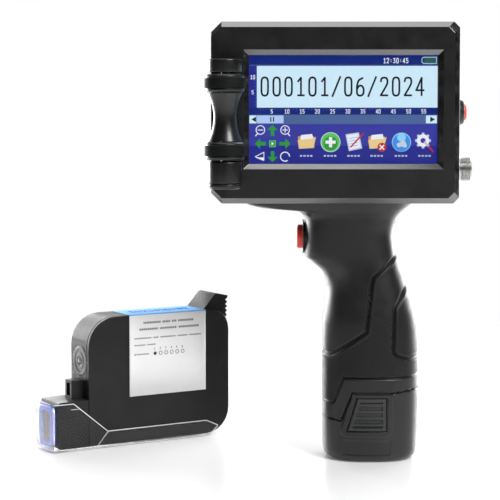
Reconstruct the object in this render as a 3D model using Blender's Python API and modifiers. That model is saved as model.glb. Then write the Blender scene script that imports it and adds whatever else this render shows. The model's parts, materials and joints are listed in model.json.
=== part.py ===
"""Handheld date code inkjet printer with its ink cartridge, as an assembly of separate parts.

Units are metres and +Z is up. The origin is the centre of the battery's underside, where the
printer stands. -Y is the screen side, -X is the printing side, and the handle's mid-plane is Y = 0.
"""

import math

import bmesh
import bpy
import numpy as np
from mathutils import Matrix, Vector

GAP = 0.0003
REACH = 0.001

# Head: a box with chamfered front edges and cut corners, split into a front and a back shell.
HEAD_WIDTH = 0.1252
HEAD_HEIGHT = 0.0915
HEAD_DEPTH = 0.062
HEAD_CENTRE_X = -0.020
HEAD_BOTTOM = 0.1335
HEAD_WALL = 0.0025
HEAD_EDGE = 0.0028
HEAD_BIG_CORNER = 0.0053
HEAD_SMALL_CORNER = 0.0030
HEAD_SPLIT_Y = 0.003
HEAD_LEFT = HEAD_CENTRE_X - HEAD_WIDTH / 2
HEAD_RIGHT = HEAD_CENTRE_X + HEAD_WIDTH / 2
HEAD_TOP = HEAD_BOTTOM + HEAD_HEIGHT
HEAD_FRONT = -HEAD_DEPTH / 2
HEAD_BACK = HEAD_DEPTH / 2

# Screen: a 4.3 inch panel behind a sloped recess in the front plate.
SCREEN_WIDTH = 0.0950
SCREEN_HEIGHT = 0.0546
SCREEN_OFFSET = 0.004
SCREEN_CENTRE_X = HEAD_CENTRE_X + SCREEN_OFFSET
SCREEN_CENTRE_Z = 0.1809
SCREEN_SLOPE = 0.0027
SCREEN_RECESS = 0.0024
FRONT_PLATE = 0.0034
GLASS_MARGIN = 0.0045
GLASS_THICKNESS = 0.0012
PANEL_THICKNESS = 0.0040
BOARD_THICKNESS = 0.0016
BOARD_SETBACK = 0.0185
BOARD_Y = HEAD_FRONT + BOARD_SETBACK
BOARD_MARGIN = 0.0090
CHIP_SIZE = 0.0140
CHIP_THICKNESS = 0.0012
CHIP_PLACES = ((-0.020, 0.009), (0.025, -0.016), (-0.025, -0.023))
SPACER_SIZE = (0.0400, 0.0080)

# Head screws stand in the corners and tie the back shell to posts of the front shell.
SCREW_RADIUS = 0.0015
SCREW_HEAD_RADIUS = 0.0028
SCREW_HEAD_HEIGHT = 0.0014
SCREW_SLOT = 0.0008
POST_RADIUS = 0.0031
HEAD_SCREW_INSET = 0.0068
HEAD_SCREW_LENGTH = 0.0095

# Cartridge bay: open at the back, with a window for the nozzles in the printing side.
BAY_LENGTH = 0.1080
BAY_FLOOR = 0.0025
BAY_WALL_Z = 0.0028
BAY_LEFT = HEAD_LEFT + HEAD_WALL
BAY_RIGHT = BAY_LEFT + BAY_LENGTH
BAY_FRONT = HEAD_SPLIT_Y + BAY_FLOOR
BAY_BOTTOM = HEAD_BOTTOM + BAY_WALL_Z
BAY_TOP = HEAD_TOP - BAY_WALL_Z
NOZZLE_WINDOW_WIDTH = 0.0160
NOZZLE_WINDOW_HEIGHT = 0.0210
NOZZLE_WINDOW_Z = 0.1520
NOZZLE_WINDOW_Y = 0.0182
PRINT_PLATE_THICKNESS = 0.0010
PRINT_PLATE_WIDTH = 0.0250
PRINT_PLATE_HEIGHT = 0.0600
PRINT_PLATE_MARGIN = 0.0022
GUIDE_RIB = 0.0016
GUIDE_RIB_PITCH = 0.0300
GUIDE_RIB_OVER_WINDOW = 0.0060
GUIDE_RIB_LEFT = 0.0300
GUIDE_RIB_RIGHT = 0.0220
WIRE_SLOT_RADIUS = 0.0040
WIRE_SLOT_PLACE = (0.0130, 0.0300)
CONTACT_BOARD_LENGTH = 0.0220
CONTACT_BOARD_HEIGHT = 0.0260
CONTACT_BOARD_PLACE = (0.0105, 0.0030)
CONTACT_PITCH = 0.0034
CONTACT_RADIUS = 0.0006

# Cartridge latch: a dovetail bolt that slides over the bay's right end.
LATCH_LENGTH = 0.0085
LATCH_HEIGHT = 0.0240
LATCH_THICKNESS = 0.0030
LATCH_DOVETAIL = 0.0012
LATCH_GRIP = 0.0012

# Power button and round socket in the right side of the head.
SIDE_FITTING_SETBACK = 0.019
SIDE_FITTING_Y = HEAD_FRONT + SIDE_FITTING_SETBACK
POWER_Z = 0.1794
POWER_BEZEL_RADIUS = 0.0070
POWER_BEZEL_HEIGHT = 0.0038
POWER_BEZEL_EDGE = 0.0012
POWER_BUTTON_RADIUS = 0.00435
POWER_BUTTON_PROUD = 0.0015
POWER_BODY_RADIUS = 0.0055
POWER_BODY_DEPTH = 0.0100
POWER_TRAVEL = 0.0015
SOCKET_Z = 0.1503
SOCKET_RADIUS = 0.0060
SOCKET_PROUD = 0.0076
SOCKET_WALL = 0.0010
SOCKET_FLANGE_RADIUS = 0.0070
SOCKET_FLANGE = 0.0020
SOCKET_DEPTH = 0.0080
SOCKET_PINS = 4
SOCKET_PIN_RADIUS = 0.0006
SOCKET_PIN_CIRCLE = 0.0024
SOCKET_PIN_LENGTH = 0.0036
SOCKET_INSERT_SUNK = 0.0030
SOCKET_THREADS = 4
SOCKET_THREAD_DEPTH = 0.00035
SOCKET_NUT_RADIUS = 0.0080
SOCKET_NUT_THICKNESS = 0.0020

# Encoder roller: housings at both ends, two tyred wheels and a waisted spool on one axle.
ROLLER_INSET = 0.0072
ROLLER_STANDOFF = 0.0105
ROLLER_X = HEAD_LEFT + ROLLER_INSET
ROLLER_Y = HEAD_FRONT - ROLLER_STANDOFF
ROLLER_BOTTOM = 0.1415
ROLLER_TOP = 0.2059
HOUSING_RADIUS = 0.0083
TOP_HOUSING_HEIGHT = 0.0066
BOTTOM_HOUSING_HEIGHT = 0.0137
HOUSING_WALL = 0.0014
HOUSING_EDGE = 0.0008
HOUSING_FOOT_WIDTH = 0.0110
WHEEL_HEIGHT = 0.0092
WHEEL_RADIUS = 0.0096
WHEEL_GAP = 0.0007
TYRE_RADIUS = 0.01015
TYRE_HEIGHT = 0.0048
TYRE_DEPTH = 0.0018
SPOOL_END_RADIUS = 0.0085
SPOOL_WAIST_RADIUS = 0.0056
AXLE_RADIUS = 0.0020
BEARING_RADIUS = 0.0048
BEARING_WIDTH = 0.0030
ENCODER_DISC_RADIUS = 0.0062
ENCODER_DISC_THICKNESS = 0.0006
ENCODER_BOARD_RADIUS = 0.0064

# Handle: its outline from the head down to the foot, as height, left edge, right edge and half
# of the thickness. Sections between them follow a smooth curve.
GRIP_STATIONS = (
    (0.1332, -0.0660, 0.0230, 0.0215),
    (0.1315, -0.0640, 0.0200, 0.0205),
    (0.1298, -0.0560, 0.0180, 0.0198),
    (0.1284, -0.0400, 0.0163, 0.0194),
    (0.1266, -0.0355, 0.0147, 0.0191),
    (0.1240, -0.0336, 0.0132, 0.0189),
    (0.1170, -0.0334, 0.0118, 0.0187),
    (0.1060, -0.0334, 0.0132, 0.0187),
    (0.1020, -0.0302, 0.0143, 0.0189),
    (0.0965, -0.0250, 0.0160, 0.0194),
    (0.0900, -0.0232, 0.0181, 0.0203),
    (0.0800, -0.0240, 0.0213, 0.0216),
    (0.0690, -0.0250, 0.0237, 0.0228),
    (0.0500, -0.0252, 0.0248, 0.0237),
    (0.0300, -0.0252, 0.0249, 0.0238),
    (0.0090, -0.0250, 0.0243, 0.0236),
    (0.0030, -0.0243, 0.0236, 0.0230),
    (0.0008, -0.0228, 0.0221, 0.0215),
    (0.0000, -0.0210, 0.0203, 0.0198),
)
GRIP_SQUARENESS = 2.5
GRIP_SIDES = 28
GRIP_LEVELS = 1
GRIP_NECK_Z = 0.1060
# The outline is drawn round cells of this reach, and widens below the neck for larger ones.
GRIP_WAIST_Z = 0.0900
GRIP_DRAWN_REACH = 0.02036192
WIRE_HOLE = (0.0200, 0.0100)
GRIP_WALL = 0.0024
SKIN = 0.0011
GROOVE = 0.0008

# Lines across the handle, as points of X and Z. They part the rubber grip, the palm pad and the
# battery from the moulded halves.
GRIP_LINE = ((0.040, 0.1240), (0.0128, 0.1058), (-0.0002, 0.0945), (-0.0012, 0.0890),
             (-0.0037, 0.0672), (-0.0212, 0.0552), (-0.050, 0.0552))
PAD_LINE = ((0.040, 0.1090), (0.0178, 0.0900), (0.0108, 0.0790), (0.0100, 0.0570),
            (0.0122, 0.0546), (0.0180, 0.0528), (0.040, 0.0528))
COLLAR_LINE = ((-0.050, 0.0302), (-0.0203, 0.0300), (-0.0152, 0.0436), (0.0135, 0.0436),
               (0.040, 0.0450))
BATTERY_LINE = ((-0.050, 0.0225), (-0.0162, 0.0215), (-0.0105, 0.0358), (0.0097, 0.0358),
                (0.040, 0.0385))

# Trigger in the printing side of the handle, and its switch behind it.
TRIGGER_Z = 0.1147
TRIGGER_BEZEL_RADIUS = 0.0090
TRIGGER_BEZEL_PROUD = 0.0021
TRIGGER_BEZEL_SEAT = 0.0020
TRIGGER_BUTTON_RADIUS = 0.0062
TRIGGER_BUTTON_PROUD = 0.0033
TRIGGER_STEM_RADIUS = 0.0013
TRIGGER_FLOOR = 0.0012
TRIGGER_TRAVEL = 0.0025
TRIGGER_NECK_RADIUS = 0.0075
TRIGGER_NECK_DEPTH = 0.0085
SWITCH_SIZE = (0.0070, 0.0120, 0.0120)
GRIP_SCREW_PLACES = ((-0.0160, 0.1255), (-0.0030, 0.1255), (-0.0040, 0.1060), (-0.0130, 0.0820))
GRIP_SCREW_LENGTH = 0.0200
GRIP_SCREW_Y = 0.0135
GRIP_POST_RADIUS = 0.0034
GRIP_ROOM_BOTTOM = 0.0100

# Battery: three round cells in a lobed tower that plugs into the handle.
CELL_RADIUS = 0.0092
CELL_LENGTH = 0.0650
CELL_CLEARANCE = 0.00025
CELL_CENTRE_X = -0.0004
CELL_ROOM = CELL_RADIUS + CELL_CLEARANCE
CELL_REACH = CELL_ROOM * (1 + 2 / math.sqrt(3))
BATTERY_FLOOR = 0.0022
TOWER_WALL = 0.0010
TOWER_SHOULDER = 0.0180
TOWER_LID = 0.0018
TERMINAL_COUNT = 3
TERMINAL_SIZE = (0.0070, 0.0012, 0.0050)
TERMINAL_PITCH = 0.0050
DOCK_THICKNESS = 0.0040
DOCK_WIRE_X = 0.0120
DOCK_WIRE_RADIUS = 0.0030
TERMINAL_BASE = 0.0008
BUTTON_LEAN = 0.0052
BUTTON_BOTTOM = 0.0160
BUTTON_TOP = 0.0335
BUTTON_LEFT = -0.0135
BUTTON_RIGHT = 0.0070
BUTTON_PROUD = 0.0006
BUTTON_DEPTH = 0.0024
BUTTON_TRAVEL = 0.0015
BUTTON_RIBS = 4
BUTTON_RIB = 0.0010
BUTTON_RIB_GAP = 0.0014
BUTTON_BORDER = (0.0035, 0.0012)
RATING_WIDTH = 0.0250
RATING_BOTTOM = 0.0035
RATING_HEIGHT = 0.0080
RATING_DEPTH = 0.0009

# Ink cartridge, standing beside the printer, in its own frame: X along it from the nozzles, Y
# through its thickness and Z up.
CARTRIDGE_PLACE = (-0.1640, 0.0020, 0.0)
CARTRIDGE_TURN = math.radians(31.0)
CARTRIDGE_BASE = 0.0013
CARTRIDGE_THICKNESS = 0.0220
CARTRIDGE_HEIGHT = 0.0700
CARTRIDGE_BODY_START = 0.0180
CARTRIDGE_BODY_END = 0.1040
CARTRIDGE_BIG_CORNER = 0.0160
CARTRIDGE_TOP_CORNER = 0.0110
CARTRIDGE_HEEL_CORNER = 0.0140
CARTRIDGE_WALL = 0.0016
CARTRIDGE_LID = 0.0026
SNOUT_HEIGHT = 0.0250
SNOUT_CORNER = 0.0015
SNOUT_OVERLAP = 0.0120
TAB_START = 0.0895
TAB_RISE = 0.0085
TAB_TEETH = 6
TAB_TOOTH = 0.0009
PLUG_RADIUS = 0.0080
PLUG_Z = 0.0460
PLUG_PROUD = 0.0004
BALL_RADIUS = 0.0013
HOOK_SIZE = (0.0070, 0.0080, 0.0100)
HOOK_WALL = 0.0015
LABEL_START = 0.0420
LABEL_LENGTH = 0.0470
LABEL_DROP = 0.0440
LABEL_THICKNESS = 0.0002
LABEL_LIFT = 0.0001
NOZZLE_PLATE_WIDTH = 0.0120
NOZZLE_PLATE_HEIGHT = 0.0180
NOZZLE_PLATE_THICKNESS = 0.0004
CONTACT_STRIP_LENGTH = 0.0130
CAP_WALL = 0.0009
CAP_NOSE = 0.0034
CAP_END = 0.0970
CAP_SIDE_HEIGHT = 0.0255
CAP_TRAY_HEIGHT = 0.0090
CAP_CLEARANCE = 0.0003
SEAL_WIDTH = 0.0170
SEAL_HEIGHT = 0.0215
SEAL_BAND = 0.0018
SEAL_THICKNESS = 0.0016


# ---------------------------------------------------------------- helpers

def clear_scene():
    for thing in list(bpy.data.objects):
        bpy.data.objects.remove(thing, do_unlink=True)


def new_collection(name):
    collection = bpy.data.collections.new(name)
    bpy.context.scene.collection.children.link(collection)
    return collection


def new_material(name, colour, roughness, metallic=0.0, alpha=1.0):
    material = bpy.data.materials.new(name)
    material.use_nodes = True
    shader = material.node_tree.nodes["Principled BSDF"]
    shader.inputs["Base Color"].default_value = (*colour, 1.0)
    shader.inputs["Roughness"].default_value = roughness
    shader.inputs["Metallic"].default_value = metallic
    shader.inputs["Alpha"].default_value = alpha
    return material


def add_object(name, mesh, material=None, smooth=False):
    thing = bpy.data.objects.new(name, mesh)
    PARTS.objects.link(thing)
    thing.parent = FRAMES.get("parent")
    if material is not None:
        mesh.materials.append(material)
    if smooth:
        mesh.shade_smooth()
        mesh.set_sharp_from_angle(angle=math.radians(35))
    return thing


def as_cutter(thing):
    PARTS.objects.unlink(thing)
    CUTTERS.objects.link(thing)
    thing.hide_render = True
    thing.display_type = "WIRE"


def combine(target, tool, operation):
    if tool.name in PARTS.objects:
        as_cutter(tool)
    modifier = target.modifiers.new(f"{operation.lower()}_{tool.name}", "BOOLEAN")
    modifier.operation = operation
    modifier.solver = "EXACT"
    modifier.object = tool


def cut(target, *tools):
    for tool in tools:
        combine(target, tool, "DIFFERENCE")


def join(target, *tools):
    for tool in tools:
        combine(target, tool, "UNION")


def keep_inside(target, tool):
    combine(target, tool, "INTERSECT")


def box(name, low, high, material=None):
    low = Vector(low)
    high = Vector(high)
    work = bmesh.new()
    bmesh.ops.create_cube(work, size=1.0)
    size = high - low
    bmesh.ops.scale(work, vec=size, verts=work.verts)
    mesh = bpy.data.meshes.new(name)
    work.to_mesh(mesh)
    work.free()
    thing = add_object(name, mesh, material)
    thing.location = (low + high) / 2
    return thing


def turned_to(axis):
    """Rotation that carries +Z onto the named axis."""
    return Vector((0, 0, 1)).rotation_difference(Vector(axis)).to_matrix().to_4x4()


def cylinder(name, centre, radius, depth, material=None, axis=(0, 0, 1), sides=20):
    work = bmesh.new()
    bmesh.ops.create_cone(work, cap_ends=True, segments=sides, radius1=radius, radius2=radius,
                          depth=depth)
    bmesh.ops.transform(work, matrix=turned_to(axis), verts=work.verts)
    mesh = bpy.data.meshes.new(name)
    work.to_mesh(mesh)
    work.free()
    thing = add_object(name, mesh, material, smooth=True)
    thing.location = centre
    return thing


def turned(name, profile, material, place=(0, 0, 0), axis=(0, 0, 1), steps=20):
    """Solid of revolution: profile is (radius, height) down the outer side, closed by the caller."""
    mesh = bpy.data.meshes.new(name)
    points = [(radius, 0.0, height) for radius, height in profile]
    mesh.from_pydata(points, [(i, i + 1) for i in range(len(points) - 1)], [])
    thing = add_object(name, mesh, material)
    screw = thing.modifiers.new("turn", "SCREW")
    screw.steps = steps
    screw.render_steps = steps
    screw.use_merge_vertices = True
    screw.merge_threshold = 0.00001
    screw.use_smooth_shade = True
    thing.matrix_basis = Matrix.Translation(place) @ turned_to(axis)
    return thing


def ring_profile(inner, outer, bottom, top):
    return [(inner, top), (outer, top), (outer, bottom), (inner, bottom), (inner, top)]


def outline_plate(name, points, thickness, material=None):
    """Flat outline in local X and Y, extruded by half its thickness to each side of local Z = 0."""
    curve = bpy.data.curves.new(name, "CURVE")
    curve.dimensions = "2D"
    curve.fill_mode = "BOTH"
    curve.extrude = thickness / 2
    spline = curve.splines.new("POLY")
    spline.points.add(len(points) - 1)
    for point, place in zip(spline.points, points):
        point.co = (place[0], place[1], 0.0, 1.0)
    spline.use_cyclic_u = True
    flat = bpy.data.objects.new(name + "_outline", curve)
    bpy.context.scene.collection.objects.link(flat)
    bpy.context.view_layer.update()
    evaluated = flat.evaluated_get(bpy.context.evaluated_depsgraph_get())
    mesh = bpy.data.meshes.new_from_object(evaluated)
    work = bmesh.new()
    work.from_mesh(mesh)
    bmesh.ops.remove_doubles(work, verts=work.verts, dist=0.000001)
    bmesh.ops.recalc_face_normals(work, faces=work.faces)
    work.to_mesh(mesh)
    work.free()
    place = flat.matrix_world.copy()
    bpy.data.objects.remove(flat)
    mesh.name = name
    mesh.materials.clear()
    thing = add_object(name, mesh, material)
    thing.matrix_basis = place
    return thing


def side_plate(name, points, y_low, y_high, material=None):
    """Outline of X and Z points between two values of Y."""
    thing = outline_plate(name, points, y_high - y_low, material)
    thing.rotation_euler = (math.pi / 2, 0, 0)
    thing.location = (0, (y_low + y_high) / 2, 0)
    return thing


def flat_plate(name, points, z_low, z_high, material=None):
    """Outline of X and Y points between two values of Z."""
    thing = outline_plate(name, points, z_high - z_low, material)
    thing.location = (0, 0, (z_low + z_high) / 2)
    return thing


def loft(name, rings, material=None, smooth=True):
    """Closed body through rings of equal length, capped at both ends."""
    mesh = bpy.data.meshes.new(name)
    count = len(rings[0])
    points = [point for ring in rings for point in ring]
    faces = []
    for level in range(len(rings) - 1):
        for i in range(count):
            after = (i + 1) % count
            low = level * count
            faces.append((low + i, low + after, low + count + after, low + count + i))
    faces.append(tuple(range(count)))
    faces.append(tuple(range((len(rings) - 1) * count, len(rings) * count)))
    mesh.from_pydata(points, [], faces)
    work = bmesh.new()
    work.from_mesh(mesh)
    bmesh.ops.recalc_face_normals(work, faces=work.faces)
    work.to_mesh(mesh)
    work.free()
    return add_object(name, mesh, material, smooth)


def rounded_rectangle(width, height, radius, centre=(0.0, 0.0), steps=4):
    points = []
    for corner in range(4):
        turn = corner * math.pi / 2
        sign_x = 1 if corner in (0, 3) else -1
        sign_y = 1 if corner in (0, 1) else -1
        for step in range(steps + 1):
            angle = turn + step * math.pi / 2 / steps
            x = centre[0] + sign_x * (width / 2 - radius) + radius * math.cos(angle)
            y = centre[1] + sign_y * (height / 2 - radius) + radius * math.sin(angle)
            points.append((x, y))
    return points


def arc(centre, radius, start, end, steps):
    """Points of a circle from one angle to another, in degrees."""
    angles = np.radians(np.linspace(start, end, steps + 1))
    return [(centre[0] + radius * math.cos(a), centre[1] + radius * math.sin(a)) for a in angles]


# ---------------------------------------------------------------- head

def head_outline(left=0.0, right=0.0, bottom=0.0, top=0.0):
    """Corners of the head's face in X and Z, moved in by the four amounts."""
    x_low = HEAD_LEFT + left
    x_high = HEAD_RIGHT - right
    z_low = HEAD_BOTTOM + bottom
    z_high = HEAD_TOP - top
    big = HEAD_BIG_CORNER
    small = HEAD_SMALL_CORNER
    return [(x_low + big, z_low), (x_high - small, z_low), (x_high, z_low + small),
            (x_high, z_high - small), (x_high - small, z_high), (x_low + big, z_high),
            (x_low, z_high - big), (x_low, z_low + big)]


def at_y(outline, y):
    return [(x, y, z) for x, z in outline]


def rectangle(x_low, x_high, z_low, z_high):
    return [(x_low, z_low), (x_high, z_low), (x_high, z_high), (x_low, z_high)]


def screen_rectangle(margin):
    half_width = SCREEN_WIDTH / 2 + margin
    half_height = SCREEN_HEIGHT / 2 + margin
    return rectangle(SCREEN_CENTRE_X - half_width, SCREEN_CENTRE_X + half_width,
                     SCREEN_CENTRE_Z - half_height, SCREEN_CENTRE_Z + half_height)


def head_screw_places():
    left = HEAD_LEFT + HEAD_SCREW_INSET
    right = BAY_RIGHT - HEAD_SCREW_INSET
    bottom = BAY_BOTTOM + SCREW_HEAD_RADIUS + REACH
    top = BAY_TOP - SCREW_HEAD_RADIUS - REACH
    return [(left, bottom), (right, bottom), (right, top), (left, top)]


def build_head_front():
    edge = HEAD_EDGE
    shell = loft("head_front_shell", [
        at_y(head_outline(right=edge, bottom=edge, top=edge), HEAD_FRONT),
        at_y(head_outline(), HEAD_FRONT + edge),
        at_y(head_outline(), HEAD_SPLIT_Y - GAP / 2)], PLASTIC, smooth=False)
    inner = HEAD_FRONT + FRONT_PLATE
    room = side_plate("head_front_room", head_outline(HEAD_WALL, HEAD_WALL, HEAD_WALL, HEAD_WALL),
                      inner, HEAD_SPLIT_Y + REACH)
    recess = loft("screen_slope", [
        at_y(screen_rectangle(SCREEN_SLOPE * (1 + REACH / SCREEN_RECESS)), HEAD_FRONT - REACH),
        at_y(screen_rectangle(0.0), HEAD_FRONT + SCREEN_RECESS)], smooth=False)
    window = side_plate("screen_window", screen_rectangle(0.0), HEAD_FRONT, inner + REACH)
    cut(shell, room, recess, window)
    for label, z, radius in (("power", POWER_Z, POWER_BODY_RADIUS), ("socket", SOCKET_Z, SOCKET_RADIUS)):
        hole = cylinder(f"{label}_hole", (HEAD_RIGHT, SIDE_FITTING_Y, z), radius + GAP,
                        4 * HEAD_WALL, axis=(1, 0, 0))
        cut(shell, hole)
    wire_hole = box("neck_wire_hole", (HEAD_CENTRE_X, -WIRE_HOLE[1], HEAD_BOTTOM - REACH),
                    (HEAD_CENTRE_X + WIRE_HOLE[0], HEAD_SPLIT_Y + REACH, HEAD_BOTTOM + 2 * HEAD_WALL))
    cut(shell, wire_hole)
    for number, (x, z) in enumerate(head_screw_places(), 1):
        start = inner - REACH
        end = HEAD_SPLIT_Y - GAP / 2
        post = cylinder(f"front_post_{number}", (x, (start + end) / 2, z), POST_RADIUS,
                        end - start, axis=(0, 1, 0), sides=12)
        hole = cylinder(f"front_post_hole_{number}", (x, end - 0.004, z), SCREW_RADIUS + GAP,
                        0.010, axis=(0, 1, 0), sides=12)
        join(shell, post)
        cut(shell, hole)
    return shell


def build_screen():
    glass_y = HEAD_FRONT + FRONT_PLATE + GAP
    side_plate("touch_glass", screen_rectangle(GLASS_MARGIN), glass_y,
               glass_y + GLASS_THICKNESS, GLASS)
    panel_y = glass_y + GLASS_THICKNESS + GAP
    side_plate("lcd_panel", screen_rectangle(GLASS_MARGIN / 2), panel_y,
               panel_y + PANEL_THICKNESS, DISPLAY)
    board = side_plate("main_board", rectangle(
        HEAD_LEFT + BOARD_MARGIN, HEAD_RIGHT - 1.6 * BOARD_MARGIN,
        HEAD_BOTTOM + BOARD_MARGIN / 2, HEAD_TOP - BOARD_MARGIN / 2),
        BOARD_Y, BOARD_Y + BOARD_THICKNESS, BOARD)
    for number, (x, z) in enumerate(CHIP_PLACES, 1):
        x += HEAD_CENTRE_X
        z += SCREEN_CENTRE_Z
        chip = box(f"board_chip_{number}", (x, BOARD_Y - CHIP_THICKNESS, z),
                   (x + CHIP_SIZE, BOARD_Y + REACH / 2, z + CHIP_SIZE))
        join(board, chip)
    length, height = SPACER_SIZE
    spacer = box("board_spacer", (SCREEN_CENTRE_X - length / 2, panel_y + PANEL_THICKNESS + GAP,
                                  SCREEN_CENTRE_Z - height / 2),
                 (SCREEN_CENTRE_X + length / 2, BOARD_Y + REACH / 2, SCREEN_CENTRE_Z + height / 2))
    join(board, spacer)
    for number, (x, z) in enumerate(head_screw_places(), 1):
        clear = cylinder(f"board_notch_{number}", (x, BOARD_Y, z), POST_RADIUS + REACH, 0.02,
                         axis=(0, 1, 0), sides=16)
        cut(board, clear)


def latch_outline(clearance=0.0):
    """Dovetail section of the latch in Y and Z: wide inside, narrow at the head's back."""
    wide = LATCH_HEIGHT / 2 + clearance
    narrow = wide - LATCH_DOVETAIL
    middle = (BAY_BOTTOM + BAY_TOP) / 2
    back = HEAD_BACK - GAP + clearance * 3
    deep = HEAD_BACK - GAP - LATCH_THICKNESS - clearance
    return [(back, middle - narrow), (back, middle + narrow), (deep, middle + wide),
            (deep, middle - wide)]


def latch_body(name, x_low, x_high, clearance, material=None):
    rings = [[(x, y, z) for y, z in latch_outline(clearance)] for x in (x_low, x_high)]
    return loft(name, rings, material, smooth=False)


def build_head_back():
    edge = HEAD_EDGE / 2
    shell = loft("head_back_shell", [
        at_y(head_outline(), HEAD_SPLIT_Y + GAP / 2),
        at_y(head_outline(), HEAD_BACK - edge),
        at_y(head_outline(edge, edge, edge, edge), HEAD_BACK)], PLASTIC, smooth=False)
    corner = HEAD_WALL * math.sqrt(2)
    bay = side_plate("cartridge_bay", [
        (BAY_LEFT + corner, BAY_BOTTOM), (BAY_RIGHT, BAY_BOTTOM), (BAY_RIGHT, BAY_TOP),
        (BAY_LEFT + corner, BAY_TOP), (BAY_LEFT, BAY_TOP - corner), (BAY_LEFT, BAY_BOTTOM + corner)],
        BAY_FRONT, HEAD_BACK + REACH)
    pocket = side_plate("wire_pocket", rectangle(BAY_RIGHT + HEAD_WALL, HEAD_RIGHT - HEAD_WALL,
                                                 BAY_BOTTOM, BAY_TOP),
                        HEAD_SPLIT_Y - REACH, HEAD_BACK - LATCH_THICKNESS - 2 * HEAD_WALL)
    window_low = NOZZLE_WINDOW_Z - NOZZLE_WINDOW_HEIGHT / 2
    window = box("nozzle_window",
                 (HEAD_LEFT - REACH, NOZZLE_WINDOW_Y - NOZZLE_WINDOW_WIDTH / 2, window_low),
                 (BAY_LEFT + REACH, NOZZLE_WINDOW_Y + NOZZLE_WINDOW_WIDTH / 2,
                  window_low + NOZZLE_WINDOW_HEIGHT))
    plate_seat = box("print_plate_seat", *print_plate_corners(GAP))
    slide = latch_body("latch_way", BAY_RIGHT - REACH, BAY_RIGHT + LATCH_LENGTH + GAP, GAP)
    cut(shell, bay, pocket, window, plate_seat, slide)
    rib_z = NOZZLE_WINDOW_Z + NOZZLE_WINDOW_HEIGHT / 2 + GUIDE_RIB_OVER_WINDOW
    for number, z in enumerate((rib_z, rib_z + GUIDE_RIB_PITCH), 1):
        rib = box(f"guide_rib_{number}", (BAY_LEFT + GUIDE_RIB_LEFT, BAY_FRONT - REACH / 2, z),
                  (BAY_RIGHT - GUIDE_RIB_RIGHT, BAY_FRONT + GUIDE_RIB, z + GUIDE_RIB))
        join(shell, rib)
    for number, (x, z) in enumerate(head_screw_places(), 1):
        hole = cylinder(f"back_hole_{number}", (x, BAY_FRONT, z), SCREW_RADIUS + GAP, 0.012,
                        axis=(0, 1, 0), sides=12)
        sink = cylinder(f"back_sink_{number}", (x, BAY_FRONT, z), SCREW_HEAD_RADIUS + GAP,
                        2 * (SCREW_HEAD_HEIGHT + GAP), axis=(0, 1, 0), sides=16)
        cut(shell, hole, sink)
    wires = cylinder("wire_slot", (BAY_LEFT + WIRE_SLOT_PLACE[0], BAY_FRONT,
                                   NOZZLE_WINDOW_Z + WIRE_SLOT_PLACE[1]), WIRE_SLOT_RADIUS,
                     0.012, axis=(0, 1, 0), sides=16)
    cut(shell, wires)
    return shell


def print_plate_corners(clearance=0.0):
    low = NOZZLE_WINDOW_Z - NOZZLE_WINDOW_HEIGHT / 2 - PRINT_PLATE_MARGIN
    back = min(NOZZLE_WINDOW_Y + PRINT_PLATE_WIDTH / 2, HEAD_BACK - HEAD_EDGE)
    outside = REACH if clearance else 0.0
    return ((HEAD_LEFT - outside, NOZZLE_WINDOW_Y - PRINT_PLATE_WIDTH / 2 - clearance, low - clearance),
            (HEAD_LEFT + PRINT_PLATE_THICKNESS + clearance, back + clearance,
             low + PRINT_PLATE_HEIGHT + clearance))


def build_print_plate():
    plate = box("print_face_plate", *print_plate_corners(), STEEL)
    low = NOZZLE_WINDOW_Z - NOZZLE_WINDOW_HEIGHT / 2
    window = box("plate_window", (HEAD_LEFT - REACH, NOZZLE_WINDOW_Y - NOZZLE_WINDOW_WIDTH / 2, low),
                 (HEAD_LEFT + 2 * REACH, NOZZLE_WINDOW_Y + NOZZLE_WINDOW_WIDTH / 2,
                  low + NOZZLE_WINDOW_HEIGHT))
    cut(plate, window)


def build_contact_board():
    x = BAY_LEFT + CONTACT_BOARD_PLACE[0]
    z = BAY_BOTTOM + CONTACT_BOARD_PLACE[1]
    y = BAY_FRONT + GAP
    board = box("contact_board", (x, y, z),
                (x + CONTACT_BOARD_LENGTH, y + BOARD_THICKNESS, z + CONTACT_BOARD_HEIGHT), BOARD)
    pitch = CONTACT_PITCH
    for row in range(4):
        for column in range(3):
            pin = cylinder(f"contact_pin_{row}_{column}",
                           (x + 0.006 + column * pitch, y + BOARD_THICKNESS + 0.0003,
                            z + 0.010 + row * pitch), CONTACT_RADIUS, 0.0014, axis=(0, 1, 0), sides=6)
            join(board, pin)


def build_cartridge_latch():
    start = BAY_RIGHT + 0.0002
    latch = latch_body("cartridge_latch", start, start + LATCH_LENGTH - 0.0002, 0.0, GREY_PLASTIC)
    middle = (BAY_BOTTOM + BAY_TOP) / 2
    for number in range(3):
        x = start + 0.0018 + number * 0.0022
        groove = box(f"latch_groove_{number + 1}", (x, HEAD_BACK - GAP - LATCH_GRIP / 2, middle - 0.008),
                     (x + 0.0009, HEAD_BACK + REACH, middle + 0.008))
        cut(latch, groove)


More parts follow.
